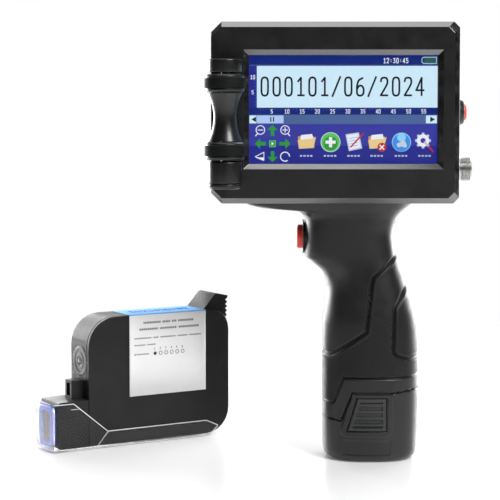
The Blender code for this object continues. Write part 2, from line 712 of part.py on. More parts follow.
def screw_body(name, place, axis, length, material):
    """Pan-head screw: the axis points out of its head, and place is the head's top."""
    profile = [(0.0, 0.0), (SCREW_HEAD_RADIUS * 0.75, 0.0),
               (SCREW_HEAD_RADIUS, -SCREW_HEAD_HEIGHT / 2), (SCREW_HEAD_RADIUS, -SCREW_HEAD_HEIGHT),
               (SCREW_RADIUS, -SCREW_HEAD_HEIGHT), (SCREW_RADIUS, -length), (0.0, -length)]
    screw = turned(name, profile, material, place, axis, steps=8)
    for turn in (0, 90):
        along = Matrix.Rotation(math.radians(turn), 4, "Z")
        slot = box(f"{name}_slot_{turn}", (-SCREW_HEAD_RADIUS * 0.6, -SCREW_SLOT / 2, -SCREW_SLOT),
                   (SCREW_HEAD_RADIUS * 0.6, SCREW_SLOT / 2, REACH))
        slot.matrix_basis = (Matrix.Translation(place) @ turned_to(axis) @ along
                             @ Matrix.Translation(slot.location))
        cut(screw, slot)
    return screw


def build_head_screws():
    for number, (x, z) in enumerate(head_screw_places(), 1):
        screw_body(f"head_screw_{number}", (x, BAY_FRONT - GAP / 2, z), (0, 1, 0),
                   HEAD_SCREW_LENGTH, STEEL)


# ---------------------------------------------------------------- side fittings

def build_power_button():
    place = (HEAD_RIGHT, SIDE_FITTING_Y, POWER_Z)
    bore = POWER_BUTTON_RADIUS + GAP
    height = POWER_BEZEL_HEIGHT
    inner = -POWER_BODY_DEPTH
    floor = inner + 0.0012
    edge = POWER_BEZEL_EDGE
    profile = [(bore, height), (POWER_BEZEL_RADIUS - edge, height), (POWER_BEZEL_RADIUS, height - edge),
               (POWER_BEZEL_RADIUS, GAP), (POWER_BODY_RADIUS, GAP), (POWER_BODY_RADIUS, inner),
               (0.0, inner), (0.0, floor), (bore, floor), (bore, height)]
    turned("power_button_bezel", profile, GLOSS_BLACK, place, (1, 0, 0))
    top = height + POWER_BUTTON_PROUD
    low = floor + POWER_TRAVEL + GAP
    radius = POWER_BUTTON_RADIUS
    profile = [(0.0, top), (radius - 0.0005, top), (radius, top - 0.0005), (radius, low), (0.0, low)]
    turned("power_button", profile, RED, place, (1, 0, 0))


def build_socket():
    place = (HEAD_RIGHT, SIDE_FITTING_Y, SOCKET_Z)
    bore = SOCKET_RADIUS - SOCKET_WALL
    top = SOCKET_PROUD
    profile = [(bore, top), (SOCKET_RADIUS - 0.0004, top)]
    pitch = (top - SOCKET_FLANGE - GAP) / SOCKET_THREADS
    for turn in range(SOCKET_THREADS):
        z = top - (turn + 0.25) * pitch
        profile.append((SOCKET_RADIUS, z))
        profile.append((SOCKET_RADIUS - SOCKET_THREAD_DEPTH, z - pitch / 2))
    flange = SOCKET_FLANGE + GAP
    profile += [(SOCKET_RADIUS - 0.0002, flange), (SOCKET_FLANGE_RADIUS, flange),
                (SOCKET_FLANGE_RADIUS, GAP), (SOCKET_RADIUS, GAP), (SOCKET_RADIUS, -SOCKET_DEPTH),
                (bore, -SOCKET_DEPTH), (bore, top)]
    turned("socket_shell", profile, NICKEL, place, (1, 0, 0))
    insert_top = top - SOCKET_INSERT_SUNK
    profile = [(0.0, insert_top), (bore - GAP, insert_top), (bore - GAP, -SOCKET_DEPTH),
               (0.0, -SOCKET_DEPTH)]
    insert = turned("socket_insert", profile, GLOSS_BLACK, place, (1, 0, 0))
    for number in range(SOCKET_PINS):
        angle = 2 * math.pi * (number + 0.5) / SOCKET_PINS
        y = SIDE_FITTING_Y + SOCKET_PIN_CIRCLE * math.cos(angle)
        z = SOCKET_Z + SOCKET_PIN_CIRCLE * math.sin(angle)
        pin = cylinder(f"socket_pin_{number + 1}", (HEAD_RIGHT + insert_top, y, z),
                       SOCKET_PIN_RADIUS, SOCKET_PIN_LENGTH, axis=(1, 0, 0), sides=8)
        join(insert, pin)
    nut_top = -HEAD_WALL - GAP
    turned("socket_nut", ring_profile(SOCKET_RADIUS + GAP, SOCKET_NUT_RADIUS,
                                      nut_top - SOCKET_NUT_THICKNESS, nut_top),
           NICKEL, place, (1, 0, 0), steps=6 * 3)


# ---------------------------------------------------------------- encoder roller

def roller_heights():
    """Bottom and top of the lower wheel, the spool and the upper wheel."""
    low = ROLLER_BOTTOM + BOTTOM_HOUSING_HEIGHT + WHEEL_GAP
    high = ROLLER_TOP - TOP_HOUSING_HEIGHT - WHEEL_GAP
    lower = (low, low + WHEEL_HEIGHT)
    upper = (high - WHEEL_HEIGHT, high)
    return lower, (lower[1] + GAP, upper[0] - GAP), upper


def housing_foot(name, z_low, z_high):
    return box(name, (ROLLER_X - HOUSING_FOOT_WIDTH / 2, ROLLER_Y + HOUSING_RADIUS / 2, z_low),
               (ROLLER_X + HOUSING_FOOT_WIDTH / 2, HEAD_FRONT - GAP, z_high))


def bore_on_roller(name, radius, z_low, z_high):
    return cylinder(name, (ROLLER_X, ROLLER_Y, (z_low + z_high) / 2), radius, z_high - z_low)


def build_roller_housings():
    place = (ROLLER_X, ROLLER_Y, 0.0)
    edge = HOUSING_EDGE
    low = ROLLER_TOP - TOP_HOUSING_HEIGHT
    radius = HOUSING_RADIUS
    seat = BEARING_RADIUS + GAP / 2
    top = turned("roller_top_housing", [(0.0, ROLLER_TOP), (radius - edge, ROLLER_TOP),
                                        (radius, ROLLER_TOP - edge), (radius, low), (0.0, low)],
                 PLASTIC, place)
    join(top, housing_foot("top_foot", low, ROLLER_TOP - edge))
    cut(top, bore_on_roller("top_bearing_seat", seat, low - REACH, low + BEARING_WIDTH + GAP),
        bore_on_roller("top_axle_end", AXLE_RADIUS + 2 * GAP, low, ROLLER_TOP - HOUSING_WALL))
    high = ROLLER_BOTTOM + BOTTOM_HOUSING_HEIGHT
    cover_top = ROLLER_BOTTOM + 2 * HOUSING_WALL
    bottom = turned("roller_bottom_housing", [(0.0, high), (radius, high), (radius, cover_top + GAP / 2),
                                              (0.0, cover_top + GAP / 2)], PLASTIC, place)
    join(bottom, housing_foot("bottom_foot", cover_top + GAP / 2, high))
    cut(bottom, bore_on_roller("bottom_bearing_seat", seat, high - BEARING_WIDTH - GAP, high + REACH),
        bore_on_roller("encoder_room", radius - HOUSING_WALL, ROLLER_BOTTOM,
                       high - BEARING_WIDTH - GAP - HOUSING_WALL),
        bore_on_roller("bottom_axle_way", AXLE_RADIUS + 2 * GAP, ROLLER_BOTTOM, high))
    turned("encoder_cover", [(0.0, cover_top - GAP / 2), (radius, cover_top - GAP / 2),
                             (radius, ROLLER_BOTTOM + 2 * edge), (radius - 2 * edge, ROLLER_BOTTOM),
                             (0.0, ROLLER_BOTTOM)], PLASTIC, place)


def build_roller_axle():
    place = (ROLLER_X, ROLLER_Y, 0.0)
    low = ROLLER_BOTTOM + 2 * HOUSING_WALL + BOARD_THICKNESS + 2 * GAP
    high = ROLLER_TOP - HOUSING_WALL - GAP
    turned("roller_axle", [(0.0, high), (AXLE_RADIUS - GAP, high), (AXLE_RADIUS, high - GAP),
                           (AXLE_RADIUS, low), (0.0, low)], STEEL, place, steps=20)
    inner = AXLE_RADIUS + GAP / 2
    top = ROLLER_TOP - TOP_HOUSING_HEIGHT + BEARING_WIDTH
    turned("top_bearing", ring_profile(inner, BEARING_RADIUS, top - BEARING_WIDTH, top), STEEL, place)
    top = ROLLER_BOTTOM + BOTTOM_HOUSING_HEIGHT
    turned("bottom_bearing", ring_profile(inner, BEARING_RADIUS, top - BEARING_WIDTH, top), STEEL, place)
    disc = low + 0.0022
    turned("encoder_disc", ring_profile(inner, ENCODER_DISC_RADIUS, disc, disc + ENCODER_DISC_THICKNESS),
           STEEL, place)
    board = ROLLER_BOTTOM + 2 * HOUSING_WALL
    turned("encoder_board", ring_profile(AXLE_RADIUS / 2, ENCODER_BOARD_RADIUS, board,
                                         board + BOARD_THICKNESS), BOARD, place)


def build_wheel(label, low, high):
    place = (ROLLER_X, ROLLER_Y, 0.0)
    bore = AXLE_RADIUS + GAP / 2
    middle = (low + high) / 2
    edge = 2 * GAP
    tyre_high = middle + TYRE_HEIGHT / 2
    tyre_low = middle - TYRE_HEIGHT / 2
    tyre_bore = TYRE_RADIUS - TYRE_DEPTH
    groove = tyre_bore - GAP / 2
    profile = [(bore, high), (WHEEL_RADIUS - edge, high), (WHEEL_RADIUS, high - edge),
               (WHEEL_RADIUS, tyre_high + GAP / 2), (groove, tyre_high + GAP / 2),
               (groove, tyre_low - GAP / 2), (WHEEL_RADIUS, tyre_low - GAP / 2),
               (WHEEL_RADIUS, low + edge), (WHEEL_RADIUS - edge, low), (bore, low), (bore, high)]
    turned(f"{label}_wheel_hub", profile, GLOSS_BLACK, place)
    profile = [(tyre_bore, tyre_high), (TYRE_RADIUS - GAP, tyre_high), (TYRE_RADIUS, tyre_high - GAP),
               (TYRE_RADIUS, tyre_low + GAP), (TYRE_RADIUS - GAP, tyre_low), (tyre_bore, tyre_low),
               (tyre_bore, tyre_high)]
    turned(f"{label}_tyre", profile, RUBBER, place)


def build_spool(low, high):
    bore = AXLE_RADIUS + GAP / 2
    profile = [(bore, high)]
    for t in np.linspace(1.0, -1.0, 11):
        radius = SPOOL_WAIST_RADIUS + (SPOOL_END_RADIUS - SPOOL_WAIST_RADIUS) * abs(t) ** 2.2
        profile.append((radius, (low + high) / 2 + t * (high - low) / 2))
    profile += [(bore, low), (bore, high)]
    turned("roller_spool", profile, GLOSS_BLACK, (ROLLER_X, ROLLER_Y, 0.0))


# ---------------------------------------------------------------- handle

def fitted_stations():
    """Stations from the foot up, widened round the battery by what its cells need."""
    rows = np.array(sorted(GRIP_STATIONS))
    growth = CELL_REACH - GRIP_DRAWN_REACH
    share = np.clip((GRIP_NECK_Z - rows[:, 0]) / (GRIP_NECK_Z - GRIP_WAIST_Z), 0.0, 1.0)
    rows[:, 1] -= growth * share
    rows[:, 2] += growth * share
    rows[:, 3] += growth * share
    return rows


def smooth_stations():
    """Stations with GRIP_LEVELS steps between each two, on a Catmull-Rom curve."""
    rows = fitted_stations()
    padded = np.vstack([2 * rows[0] - rows[1], rows, 2 * rows[-1] - rows[-2]])
    result = []
    for i in range(1, len(padded) - 2):
        for step in range(GRIP_LEVELS):
            t = step / GRIP_LEVELS
            a, b, c, d = padded[i - 1:i + 3]
            result.append(0.5 * (2 * b + (c - a) * t + (2 * a - 5 * b + 4 * c - d) * t * t
                                 + (3 * b - a - 3 * c + d) * t ** 3))
    result.append(padded[-2])
    return result


def grip_ring(z, left, right, half, inset):
    across = (right - left) / 2 - inset
    deep = half - inset
    centre = (left + right) / 2
    ring = []
    for i in range(GRIP_SIDES):
        angle = 2 * math.pi * i / GRIP_SIDES
        c = math.cos(angle)
        s = math.sin(angle)
        x = centre + across * math.copysign(abs(c) ** (2 / GRIP_SQUARENESS), c)
        y = deep * math.copysign(abs(s) ** (2 / GRIP_SQUARENESS), s)
        ring.append((x, y, z))
    return ring


def grip_body(name, inset=0.0, low=-1.0, high=1.0, material=None):
    """The handle's form moved in by inset, between two heights."""
    rings = [grip_ring(*row, inset) for row in smooth_stations() if low < row[0] < high]
    return loft(name, rings, material)


def neck_limits(row):
    """The hollow stays straight through the neck, under the flare that meets the head."""
    z, left, right, half = row
    if z > GRIP_NECK_Z:
        face = grip_at(GRIP_NECK_Z)
        left = max(left, face[1])
        right = min(right, face[2])
        half = min(half, face[3])
    return z, left, right, half


def grip_at(z):
    rows = np.array(smooth_stations())
    return [z] + [float(np.interp(z, rows[:, 0], rows[:, i])) for i in (1, 2, 3)]


def grip_hollow(name, inset, low, high, material=None):
    """The handle's inside, moved in by inset, from one height to another."""
    heights = [low] + [row[0] for row in smooth_stations() if low < row[0] < high] + [high]
    rings = [grip_ring(*neck_limits(grip_at(z)), inset) for z in heights]
    return loft(name, rings, material)


def grown(points, distance):
    """Closed counter-clockwise outline moved outwards by distance, with mitred corners."""
    count = len(points)
    result = []
    for i, here in enumerate(points):
        before = Vector(points[i - 1])
        after = Vector(points[(i + 1) % count])
        here = Vector(here)
        first = (here - before).normalized()
        second = (after - here).normalized()
        normal_a = Vector((first.y, -first.x))
        normal_b = Vector((second.y, -second.x))
        mitre = (normal_a + normal_b) / (1.0 + normal_a.dot(normal_b))
        result.append(tuple(here + distance * mitre))
    return result


GRIP_DEEP = 0.040


def rubber_outline():
    return list(GRIP_LINE) + list(COLLAR_LINE)


def battery_outline():
    below = -0.010
    return [(BATTERY_LINE[0][0], below), (BATTERY_LINE[-1][0], below)] + list(BATTERY_LINE)[::-1]


def through_plate(name, outline):
    return side_plate(name, outline, -GRIP_DEEP, GRIP_DEEP)


def tower_top():
    return BATTERY_FLOOR + CELL_LENGTH + 2 * GAP


def cell_places():
    reach = 2 * CELL_ROOM / math.sqrt(3)
    angles = [math.pi + i * 2 * math.pi / 3 for i in range(3)]
    return [(CELL_CENTRE_X + reach * math.cos(a), reach * math.sin(a)) for a in angles]


def lobed_outline(wall):
    """Hull of three circles round the cells, in X and Y."""
    points = []
    for i, place in enumerate(cell_places()):
        middle = 180.0 + i * 120.0
        points += arc(place, CELL_ROOM + wall, middle - 60, middle + 60, 6)
    return points


def post_reach(x, z):
    """How far from the mid-plane a post at this place may run into the handle's wall."""
    _, left, right, half = neck_limits(grip_at(z))
    off_centre = abs(x - (left + right) / 2) + GRIP_POST_RADIUS
    share = min(1.0, off_centre / ((right - left) / 2))
    return half * (1 - share ** GRIP_SQUARENESS) ** (1 / GRIP_SQUARENESS) - GRIP_WALL / 2


def build_grip_halves():
    trigger_face = grip_at(TRIGGER_Z)[1]
    hollow = grip_hollow("grip_room", GRIP_WALL, GRIP_ROOM_BOTTOM, GRIP_STATIONS[0][0] + REACH)
    below = through_plate("grip_below", grown(battery_outline(), GAP))
    pocket = grip_body("skin_pocket", -REACH)
    core = grip_body("skin_core", SKIN + GAP / 2)
    cut(pocket, core)
    keep_inside(pocket, through_plate("skin_region", grown(rubber_outline(), GROOVE)))
    neck = cylinder("trigger_neck_hole", (trigger_face, 0, TRIGGER_Z), TRIGGER_NECK_RADIUS + GAP,
                    2 * TRIGGER_NECK_DEPTH, axis=(1, 0, 0), sides=24)
    seat_depth = TRIGGER_BEZEL_SEAT + GAP
    seat = cylinder("trigger_seat", (trigger_face + seat_depth - 0.005, 0, TRIGGER_Z),
                    TRIGGER_BEZEL_RADIUS + GAP, 0.010, axis=(1, 0, 0), sides=24)
    for label, side in (("front", -1), ("back", 1)):
        half = grip_body(f"grip_{label}_half", 0.0, material=PLASTIC)
        other = box(f"{label}_halving", (-0.2, min(-side * 0.1, side * GAP / 2), -0.1),
                    (0.2, max(-side * 0.1, side * GAP / 2), 0.2))
        cut(half, hollow, below, other, pocket)
        for number, (x, z) in enumerate(GRIP_SCREW_PLACES, 1):
            wall = post_reach(x, z)
            start = GAP / 2
            middle = side * (start + wall) / 2
            post = cylinder(f"{label}_grip_post_{number}", (x, middle, z), GRIP_POST_RADIUS,
                            wall - start, axis=(0, 1, 0), sides=10)
            join(half, post)
            tip = GRIP_SCREW_Y - GRIP_SCREW_LENGTH - REACH
            hole = cylinder(f"{label}_grip_hole_{number}", (x, (tip + GRIP_SCREW_Y) / 2, z),
                            SCREW_RADIUS + GAP, GRIP_SCREW_Y - tip, axis=(0, 1, 0), sides=8)
            cut(half, hole)
            if side > 0:
                sink = cylinder(f"grip_sink_{number}",
                                (x, GRIP_SCREW_Y - SCREW_HEAD_HEIGHT - GAP + 0.010, z),
                                SCREW_HEAD_RADIUS + GAP, 0.020, axis=(0, 1, 0), sides=12)
                cut(half, sink)
        cut(half, neck, seat)
    for number, (x, z) in enumerate(GRIP_SCREW_PLACES, 1):
        screw_body(f"grip_screw_{number}", (x, GRIP_SCREW_Y, z), (0, 1, 0), GRIP_SCREW_LENGTH, STEEL)


def build_grip_skins():
    pad_outline = list(PAD_LINE)
    for name, outline, material in (("rubber_grip", rubber_outline(), RUBBER),
                                    ("palm_pad", pad_outline, RUBBER)):
        low = min(z for _, z in outline) - 0.02
        high = max(z for _, z in outline) + 0.02
        skin = grip_body(name, 0.0, low, high, material)
        inner = grip_body(f"{name}_core", SKIN, low - 0.01, high + 0.01)
        cut(skin, inner)
        keep_inside(skin, through_plate(f"{name}_region", outline))
        if name == "rubber_grip":
            cut(skin, through_plate("pad_gap", grown(pad_outline, GROOVE)))


def build_trigger():
    place = (grip_at(TRIGGER_Z)[1], 0.0, TRIGGER_Z)
    out = (-1, 0, 0)
    top = TRIGGER_BEZEL_PROUD
    bore = TRIGGER_BUTTON_RADIUS + GAP
    deep = -TRIGGER_NECK_DEPTH
    floor = deep + TRIGGER_FLOOR
    hole = TRIGGER_STEM_RADIUS + GAP
    profile = [(bore, top), (TRIGGER_BEZEL_RADIUS - 0.0014, top), (TRIGGER_BEZEL_RADIUS, top - 0.0010),
               (TRIGGER_BEZEL_RADIUS, -TRIGGER_BEZEL_SEAT), (TRIGGER_NECK_RADIUS, -TRIGGER_BEZEL_SEAT),
               (TRIGGER_NECK_RADIUS, deep), (hole, deep), (hole, floor), (bore, floor), (bore, top)]
    turned("trigger_bezel", profile, GLOSS_BLACK, place, out, steps=24)
    radius = TRIGGER_BUTTON_RADIUS
    face = top + TRIGGER_BUTTON_PROUD
    base = floor + TRIGGER_TRAVEL + GAP
    stem = deep + TRIGGER_TRAVEL + GAP
    profile = [(0.0, face), (radius - 0.0006, face), (radius, face - 0.0006), (radius, base),
               (TRIGGER_STEM_RADIUS, base), (TRIGGER_STEM_RADIUS, stem), (0.0, stem)]
    turned("trigger_button", profile, RED, place, out, steps=24)
    x = place[0] + TRIGGER_NECK_DEPTH + GAP
    length, depth, height = SWITCH_SIZE
    switch = box("trigger_switch", (x, -depth / 2, TRIGGER_Z - height / 2),
                 (x + length, depth / 2, TRIGGER_Z + height / 2), GLOSS_BLACK)
    for number, z in enumerate((-0.003, 0.003), 1):
        tag = box(f"switch_tag_{number}", (x + length - REACH, -0.0015, TRIGGER_Z + z - 0.0004),
                  (x + length + 0.0035, 0.0015, TRIGGER_Z + z + 0.0004))
        join(switch, tag)


# ---------------------------------------------------------------- battery

def button_outline():
    return [(BUTTON_LEFT, BUTTON_BOTTOM), (BUTTON_RIGHT, BUTTON_BOTTOM), (BUTTON_RIGHT, BUTTON_TOP),
            (BUTTON_LEFT + BUTTON_LEAN, BUTTON_TOP)]


def build_battery_case():
    case = grip_body("battery_case", 0.0, -1.0, 0.060, PLASTIC)
    keep_inside(case, through_plate("case_region", battery_outline()))
    tower = flat_plate("cell_tower", lobed_outline(TOWER_WALL), TOWER_SHOULDER, tower_top())
    join(case, tower)
    room = flat_plate("cell_room", lobed_outline(0.0), BATTERY_FLOOR, tower_top() + REACH)
    cut(case, room)
    for label, side in (("front", -1), ("back", 1)):
        depth = BUTTON_DEPTH + BUTTON_TRAVEL + GAP
        pocket = grip_body(f"{label}_button_pocket", -0.003, 0.002, 0.060)
        core = grip_body(f"{label}_button_core", depth, -0.001, 0.070)
        cut(pocket, core)
        outline = grown(button_outline(), GAP)
        y_range = sorted((side * 0.010, side * GRIP_DEEP))
        keep_inside(pocket, side_plate(f"{label}_button_region", outline, *y_range))
        cut(case, pocket)
    cut(case, rating_recess())


def rating_recess():
    """Shallow blank panel under the front button."""
    middle = (BUTTON_LEFT + BUTTON_RIGHT) / 2
    face = -grip_at(RATING_BOTTOM + RATING_HEIGHT)[3]
    return box("rating_recess", (middle - RATING_WIDTH / 2, face - 0.005, RATING_BOTTOM),
               (middle + RATING_WIDTH / 2, face + RATING_DEPTH, RATING_BOTTOM + RATING_HEIGHT))


def build_latch_button(label, side):
    button = grip_body(f"{label}_latch_button", -BUTTON_PROUD, 0.002, 0.060, GREY_PLASTIC)
    core = grip_body(f"{label}_latch_core", BUTTON_DEPTH, -0.001, 0.070)
    cut(button, core)
    y_range = sorted((side * 0.010, side * GRIP_DEEP))
    keep_inside(button, side_plate(f"{label}_latch_region", button_outline(), *y_range))
    pitch = (BUTTON_TOP - BUTTON_BOTTOM) / BUTTON_RIBS
    face = grip_at(BUTTON_TOP)[3] + BUTTON_PROUD
    for number in range(1, BUTTON_RIBS):
        z = BUTTON_BOTTOM + number * pitch
        near, far = sorted((side * (face - BUTTON_RIB), side * GRIP_DEEP))
        low = (BUTTON_LEFT + BUTTON_BORDER[0], near, z - BUTTON_RIB_GAP / 2)
        high = (BUTTON_RIGHT - BUTTON_BORDER[1], far, z + BUTTON_RIB_GAP / 2)
        cut(button, box(f"{label}_rib_gap_{number}", low, high))


def build_cells():
    low = BATTERY_FLOOR + GAP
    radius = CELL_RADIUS - GAP / 2
    for number, (x, y) in enumerate(cell_places(), 1):
        top = low + CELL_LENGTH
        tip = 0.0010
        profile = [(0.0, top), (0.0028, top), (0.0028, top - tip), (radius - tip, top - tip),
                   (radius, top - 2 * tip), (radius, low), (0.0, low)]
        turned(f"cell_{number}", profile, CELL_WRAP, (x, y, 0.0), steps=16)


def build_battery_top():
    low = tower_top() + GAP / 2
    flat_plate("battery_lid", lobed_outline(TOWER_WALL - GAP), low, low + TOWER_LID, PLASTIC)
    length, width, height = TERMINAL_SIZE
    base = low + TOWER_LID + GAP / 2
    span = TERMINAL_PITCH * (TERMINAL_COUNT - 1) + 2 * width
    block = box("battery_terminals", (CELL_CENTRE_X - length / 2, -span / 2, base),
                (CELL_CENTRE_X + length / 2, span / 2, base + TERMINAL_BASE), BRASS)
    for number in range(TERMINAL_COUNT):
        y = (number - (TERMINAL_COUNT - 1) / 2) * TERMINAL_PITCH
        blade = box(f"blade_{number + 1}", (CELL_CENTRE_X - length / 2, y - width / 2, base),
                    (CELL_CENTRE_X + length / 2, y + width / 2, base + height))
        join(block, blade)
    low = base + TERMINAL_BASE + 2 * GAP
    high = low + DOCK_THICKNESS
    dock = grip_hollow("battery_dock", GRIP_WALL + GAP, low, high, GREY_PLASTIC)
    for number in range(TERMINAL_COUNT):
        y = (number - (TERMINAL_COUNT - 1) / 2) * TERMINAL_PITCH
        slot = box(f"dock_slot_{number + 1}",
                   (CELL_CENTRE_X - length / 2 - GAP, y - width / 2 - GAP, low - REACH),
                   (CELL_CENTRE_X + length / 2 + GAP, y + width / 2 + GAP, high + REACH))
        cut(dock, slot)
    way = cylinder("dock_wire_way", (DOCK_WIRE_X, 0.0, low), DOCK_WIRE_RADIUS, 0.02, sides=12)
    cut(dock, way)


# ---------------------------------------------------------------- ink cartridge

def tank_outline(inset=0.0):
    """The tank without its snout, in X and Z, counter-clockwise."""
    left = CARTRIDGE_BODY_START + inset
    right = CARTRIDGE_BODY_END - inset
    low = CARTRIDGE_BASE + inset
    high = CARTRIDGE_HEIGHT - inset
    heel = CARTRIDGE_HEEL_CORNER - inset
    top = CARTRIDGE_TOP_CORNER - inset
    big = CARTRIDGE_BIG_CORNER - inset
    points = [(left, low)]
    points += arc((right - heel, low + heel), heel, -90, 0, 6)
    points += arc((right - top, high - top), top, 0, 90, 5)
    points += arc((left + big, high - big), big, 90, 180, 7)
    return points


def build_cartridge_body():
    thick = CARTRIDGE_THICKNESS
    body = side_plate("cartridge_body", tank_outline(), CARTRIDGE_LID + GAP, thick, INK_PLASTIC)
    snout = side_plate("snout", rounded_rectangle(
        CARTRIDGE_BODY_START + SNOUT_OVERLAP, SNOUT_HEIGHT, SNOUT_CORNER,
        ((CARTRIDGE_BODY_START + SNOUT_OVERLAP) / 2, CARTRIDGE_BASE + SNOUT_HEIGHT / 2), 2),
        0.0, thick - 0.0002)
    lid_room = side_plate("lid_room", grown(tank_outline(), GAP), -REACH, CARTRIDGE_LID + GAP)
    cut(snout, lid_room)
    join(body, snout)
    tab = side_plate("grip_tab", tab_outline(), CARTRIDGE_LID + GAP, thick - 0.0004)
    join(body, tab)
    length, width, height = HOOK_SIZE
    middle = thick / 2
    top = CARTRIDGE_BASE + SNOUT_HEIGHT
    hook = box("hook", (CARTRIDGE_BODY_START - length, middle - width / 2, top - REACH),
               (CARTRIDGE_BODY_START + REACH, middle + width / 2, top + height))
    slot = box("hook_slot", (CARTRIDGE_BODY_START - length - REACH, middle - width / 4, top + HOOK_WALL),
               (CARTRIDGE_BODY_START - HOOK_WALL, middle + width / 4, top + height - HOOK_WALL))
    join(body, hook)
    room = side_plate("ink_room", tank_outline(CARTRIDGE_WALL), CARTRIDGE_LID - REACH,
                      thick - CARTRIDGE_WALL)
    seat = cylinder("plug_seat", (CARTRIDGE_BODY_START, middle, PLUG_Z), PLUG_RADIUS + GAP / 2,
                    2 * (CARTRIDGE_WALL - 0.0005), axis=(1, 0, 0))
    vent = cylinder("ball_way", (CARTRIDGE_BODY_START, middle, PLUG_Z), BALL_RADIUS + 2 * GAP,
                    4 * CARTRIDGE_WALL, axis=(1, 0, 0), sides=12)
    pipe = cylinder("ink_pipe", (CARTRIDGE_BODY_START, middle, top / 2), 0.002,
                    2 * CARTRIDGE_BODY_START - 0.004, axis=(1, 0, 0), sides=12)
    strip = box("contact_seat", *contact_corners(GAP / 2))
    cut(body, slot, room, seat, vent, pipe, strip)


def tab_outline():
    """Leaning finger tab with a toothed back, in X and Z."""
    top = CARTRIDGE_HEIGHT + TAB_RISE
    end = CARTRIDGE_BODY_END + 0.0010
    low = CARTRIDGE_HEIGHT - 0.0075
    points = [(TAB_START, CARTRIDGE_HEIGHT - 0.004), (end - 0.008, low)]
    for number in range(TAB_TEETH):
        z = low + number * (top - 0.0015 - low) / TAB_TEETH
        step = (top - 0.0015 - low) / TAB_TEETH
        points.append((end - TAB_TOOTH - 0.0006, z))
        points.append((end - 0.0001 * (TAB_TEETH - number), z + step * 0.55))
    points += [(end, top - 0.0015), (TAB_START + 0.0085, top), (TAB_START + 0.0072, top - 0.0005),
               (TAB_START, CARTRIDGE_HEIGHT)]
    return points


def contact_corners(clearance=0.0):
    y = CARTRIDGE_THICKNESS - 0.0002
    return ((0.0025 - clearance, y - 0.0002 - clearance, 0.0045 - clearance),
            (0.0025 + CONTACT_STRIP_LENGTH + clearance, y + (REACH if clearance else 0.0),
             0.0045 + 0.0180 + clearance))


def build_cartridge_details():
    side_plate("cartridge_lid", tank_outline(), 0.0, CARTRIDGE_LID, INK_PLASTIC)
    inset = CARTRIDGE_WALL + GAP
    side_plate("ink_sponge", tank_outline(inset), CARTRIDGE_LID + 2 * GAP,
               CARTRIDGE_THICKNESS - inset, SPONGE)
    box("contact_strip", *contact_corners(), BRASS)
    middle = CARTRIDGE_THICKNESS / 2
    place = (CARTRIDGE_BODY_START, middle, PLUG_Z)
    out = (-1, 0, 0)
    inner = -(CARTRIDGE_WALL - 0.0005) + GAP
    radius = PLUG_RADIUS
    proud = PLUG_PROUD
    profile = [(BALL_RADIUS + GAP / 2, proud), (0.0040, proud), (0.0044, proud - 0.0004),
               (0.0062, proud - 0.0004), (0.0066, proud), (radius - 0.0004, proud),
               (radius, proud - 0.0004), (radius, inner), (BALL_RADIUS + GAP / 2, inner),
               (BALL_RADIUS + GAP / 2, proud)]
    turned("fill_plug", profile, GREY_PLASTIC, place, out)
    work = bmesh.new()
    bmesh.ops.create_uvsphere(work, u_segments=12, v_segments=8, radius=BALL_RADIUS)
    mesh = bpy.data.meshes.new("fill_ball")
    work.to_mesh(mesh)
    work.free()
    ball = add_object("fill_ball", mesh, STEEL, smooth=True)
    ball.location = (CARTRIDGE_BODY_START + BALL_RADIUS - 0.0011, middle, PLUG_Z)
    low = (CARTRIDGE_BASE + SNOUT_HEIGHT - NOZZLE_PLATE_HEIGHT) / 2 + 0.0005
    box("nozzle_plate", (-GAP / 2 - NOZZLE_PLATE_THICKNESS, middle - NOZZLE_PLATE_WIDTH / 2, low),
        (-GAP / 2, middle + NOZZLE_PLATE_WIDTH / 2, low + NOZZLE_PLATE_HEIGHT), BRASS)


def build_label():
    thick = LABEL_THICKNESS
    outer = -LABEL_LIFT - thick
    top = CARTRIDGE_HEIGHT + LABEL_LIFT + thick
    end = LABEL_START + LABEL_LENGTH
    label = box("cartridge_label", (LABEL_START, outer, CARTRIDGE_HEIGHT - LABEL_DROP),
                (end, CARTRIDGE_THICKNESS - REACH, top), PAPER)
    inside = box("label_inside", (LABEL_START - REACH, -LABEL_LIFT, 0.0),
                 (end + REACH, CARTRIDGE_THICKNESS + REACH, CARTRIDGE_HEIGHT + LABEL_LIFT))
    cut(label, inside)


def build_nozzle_cap():
    side = CAP_CLEARANCE + CAP_WALL
    outline = [(-CAP_NOSE, 0.0), (CAP_END - 0.006, 0.0), (CAP_END, 0.0055),
               (CAP_END - 0.008, CAP_TRAY_HEIGHT), (0.0285, CAP_TRAY_HEIGHT),
               (0.0085, CAP_SIDE_HEIGHT), (-CAP_NOSE, CAP_SIDE_HEIGHT)]
    cap = side_plate("nozzle_cap", outline, -side, CARTRIDGE_THICKNESS + side, CLEAR)
    room = side_plate("cap_room", rectangle(-CAP_NOSE + CAP_WALL, CAP_END + 0.01, CAP_WALL, 0.04),
                      -CAP_CLEARANCE, CARTRIDGE_THICKNESS + CAP_CLEARANCE)
    cut(cap, room)
    middle = (CARTRIDGE_THICKNESS / 2, CARTRIDGE_BASE + SNOUT_HEIGHT / 2 - 0.0008)
    x_low = -CAP_NOSE + CAP_WALL + GAP / 2
    outer = rounded_rectangle(SEAL_WIDTH, SEAL_HEIGHT, 0.004, middle)
    inner = rounded_rectangle(SEAL_WIDTH - 2 * SEAL_BAND, SEAL_HEIGHT - 2 * SEAL_BAND, 0.003, middle)
    x_high = x_low + SEAL_THICKNESS
    seal = loft("cap_seal", [[(x, y, z) for y, z in outer] for x in (x_low, x_high)], SEAL, smooth=False)
    hole = loft("seal_hole", [[(x, y, z) for y, z in inner] for x in (x_low - REACH, x_high + REACH)],
                smooth=False)
    cut(seal, hole)


# ---------------------------------------------------------------- the whole printer

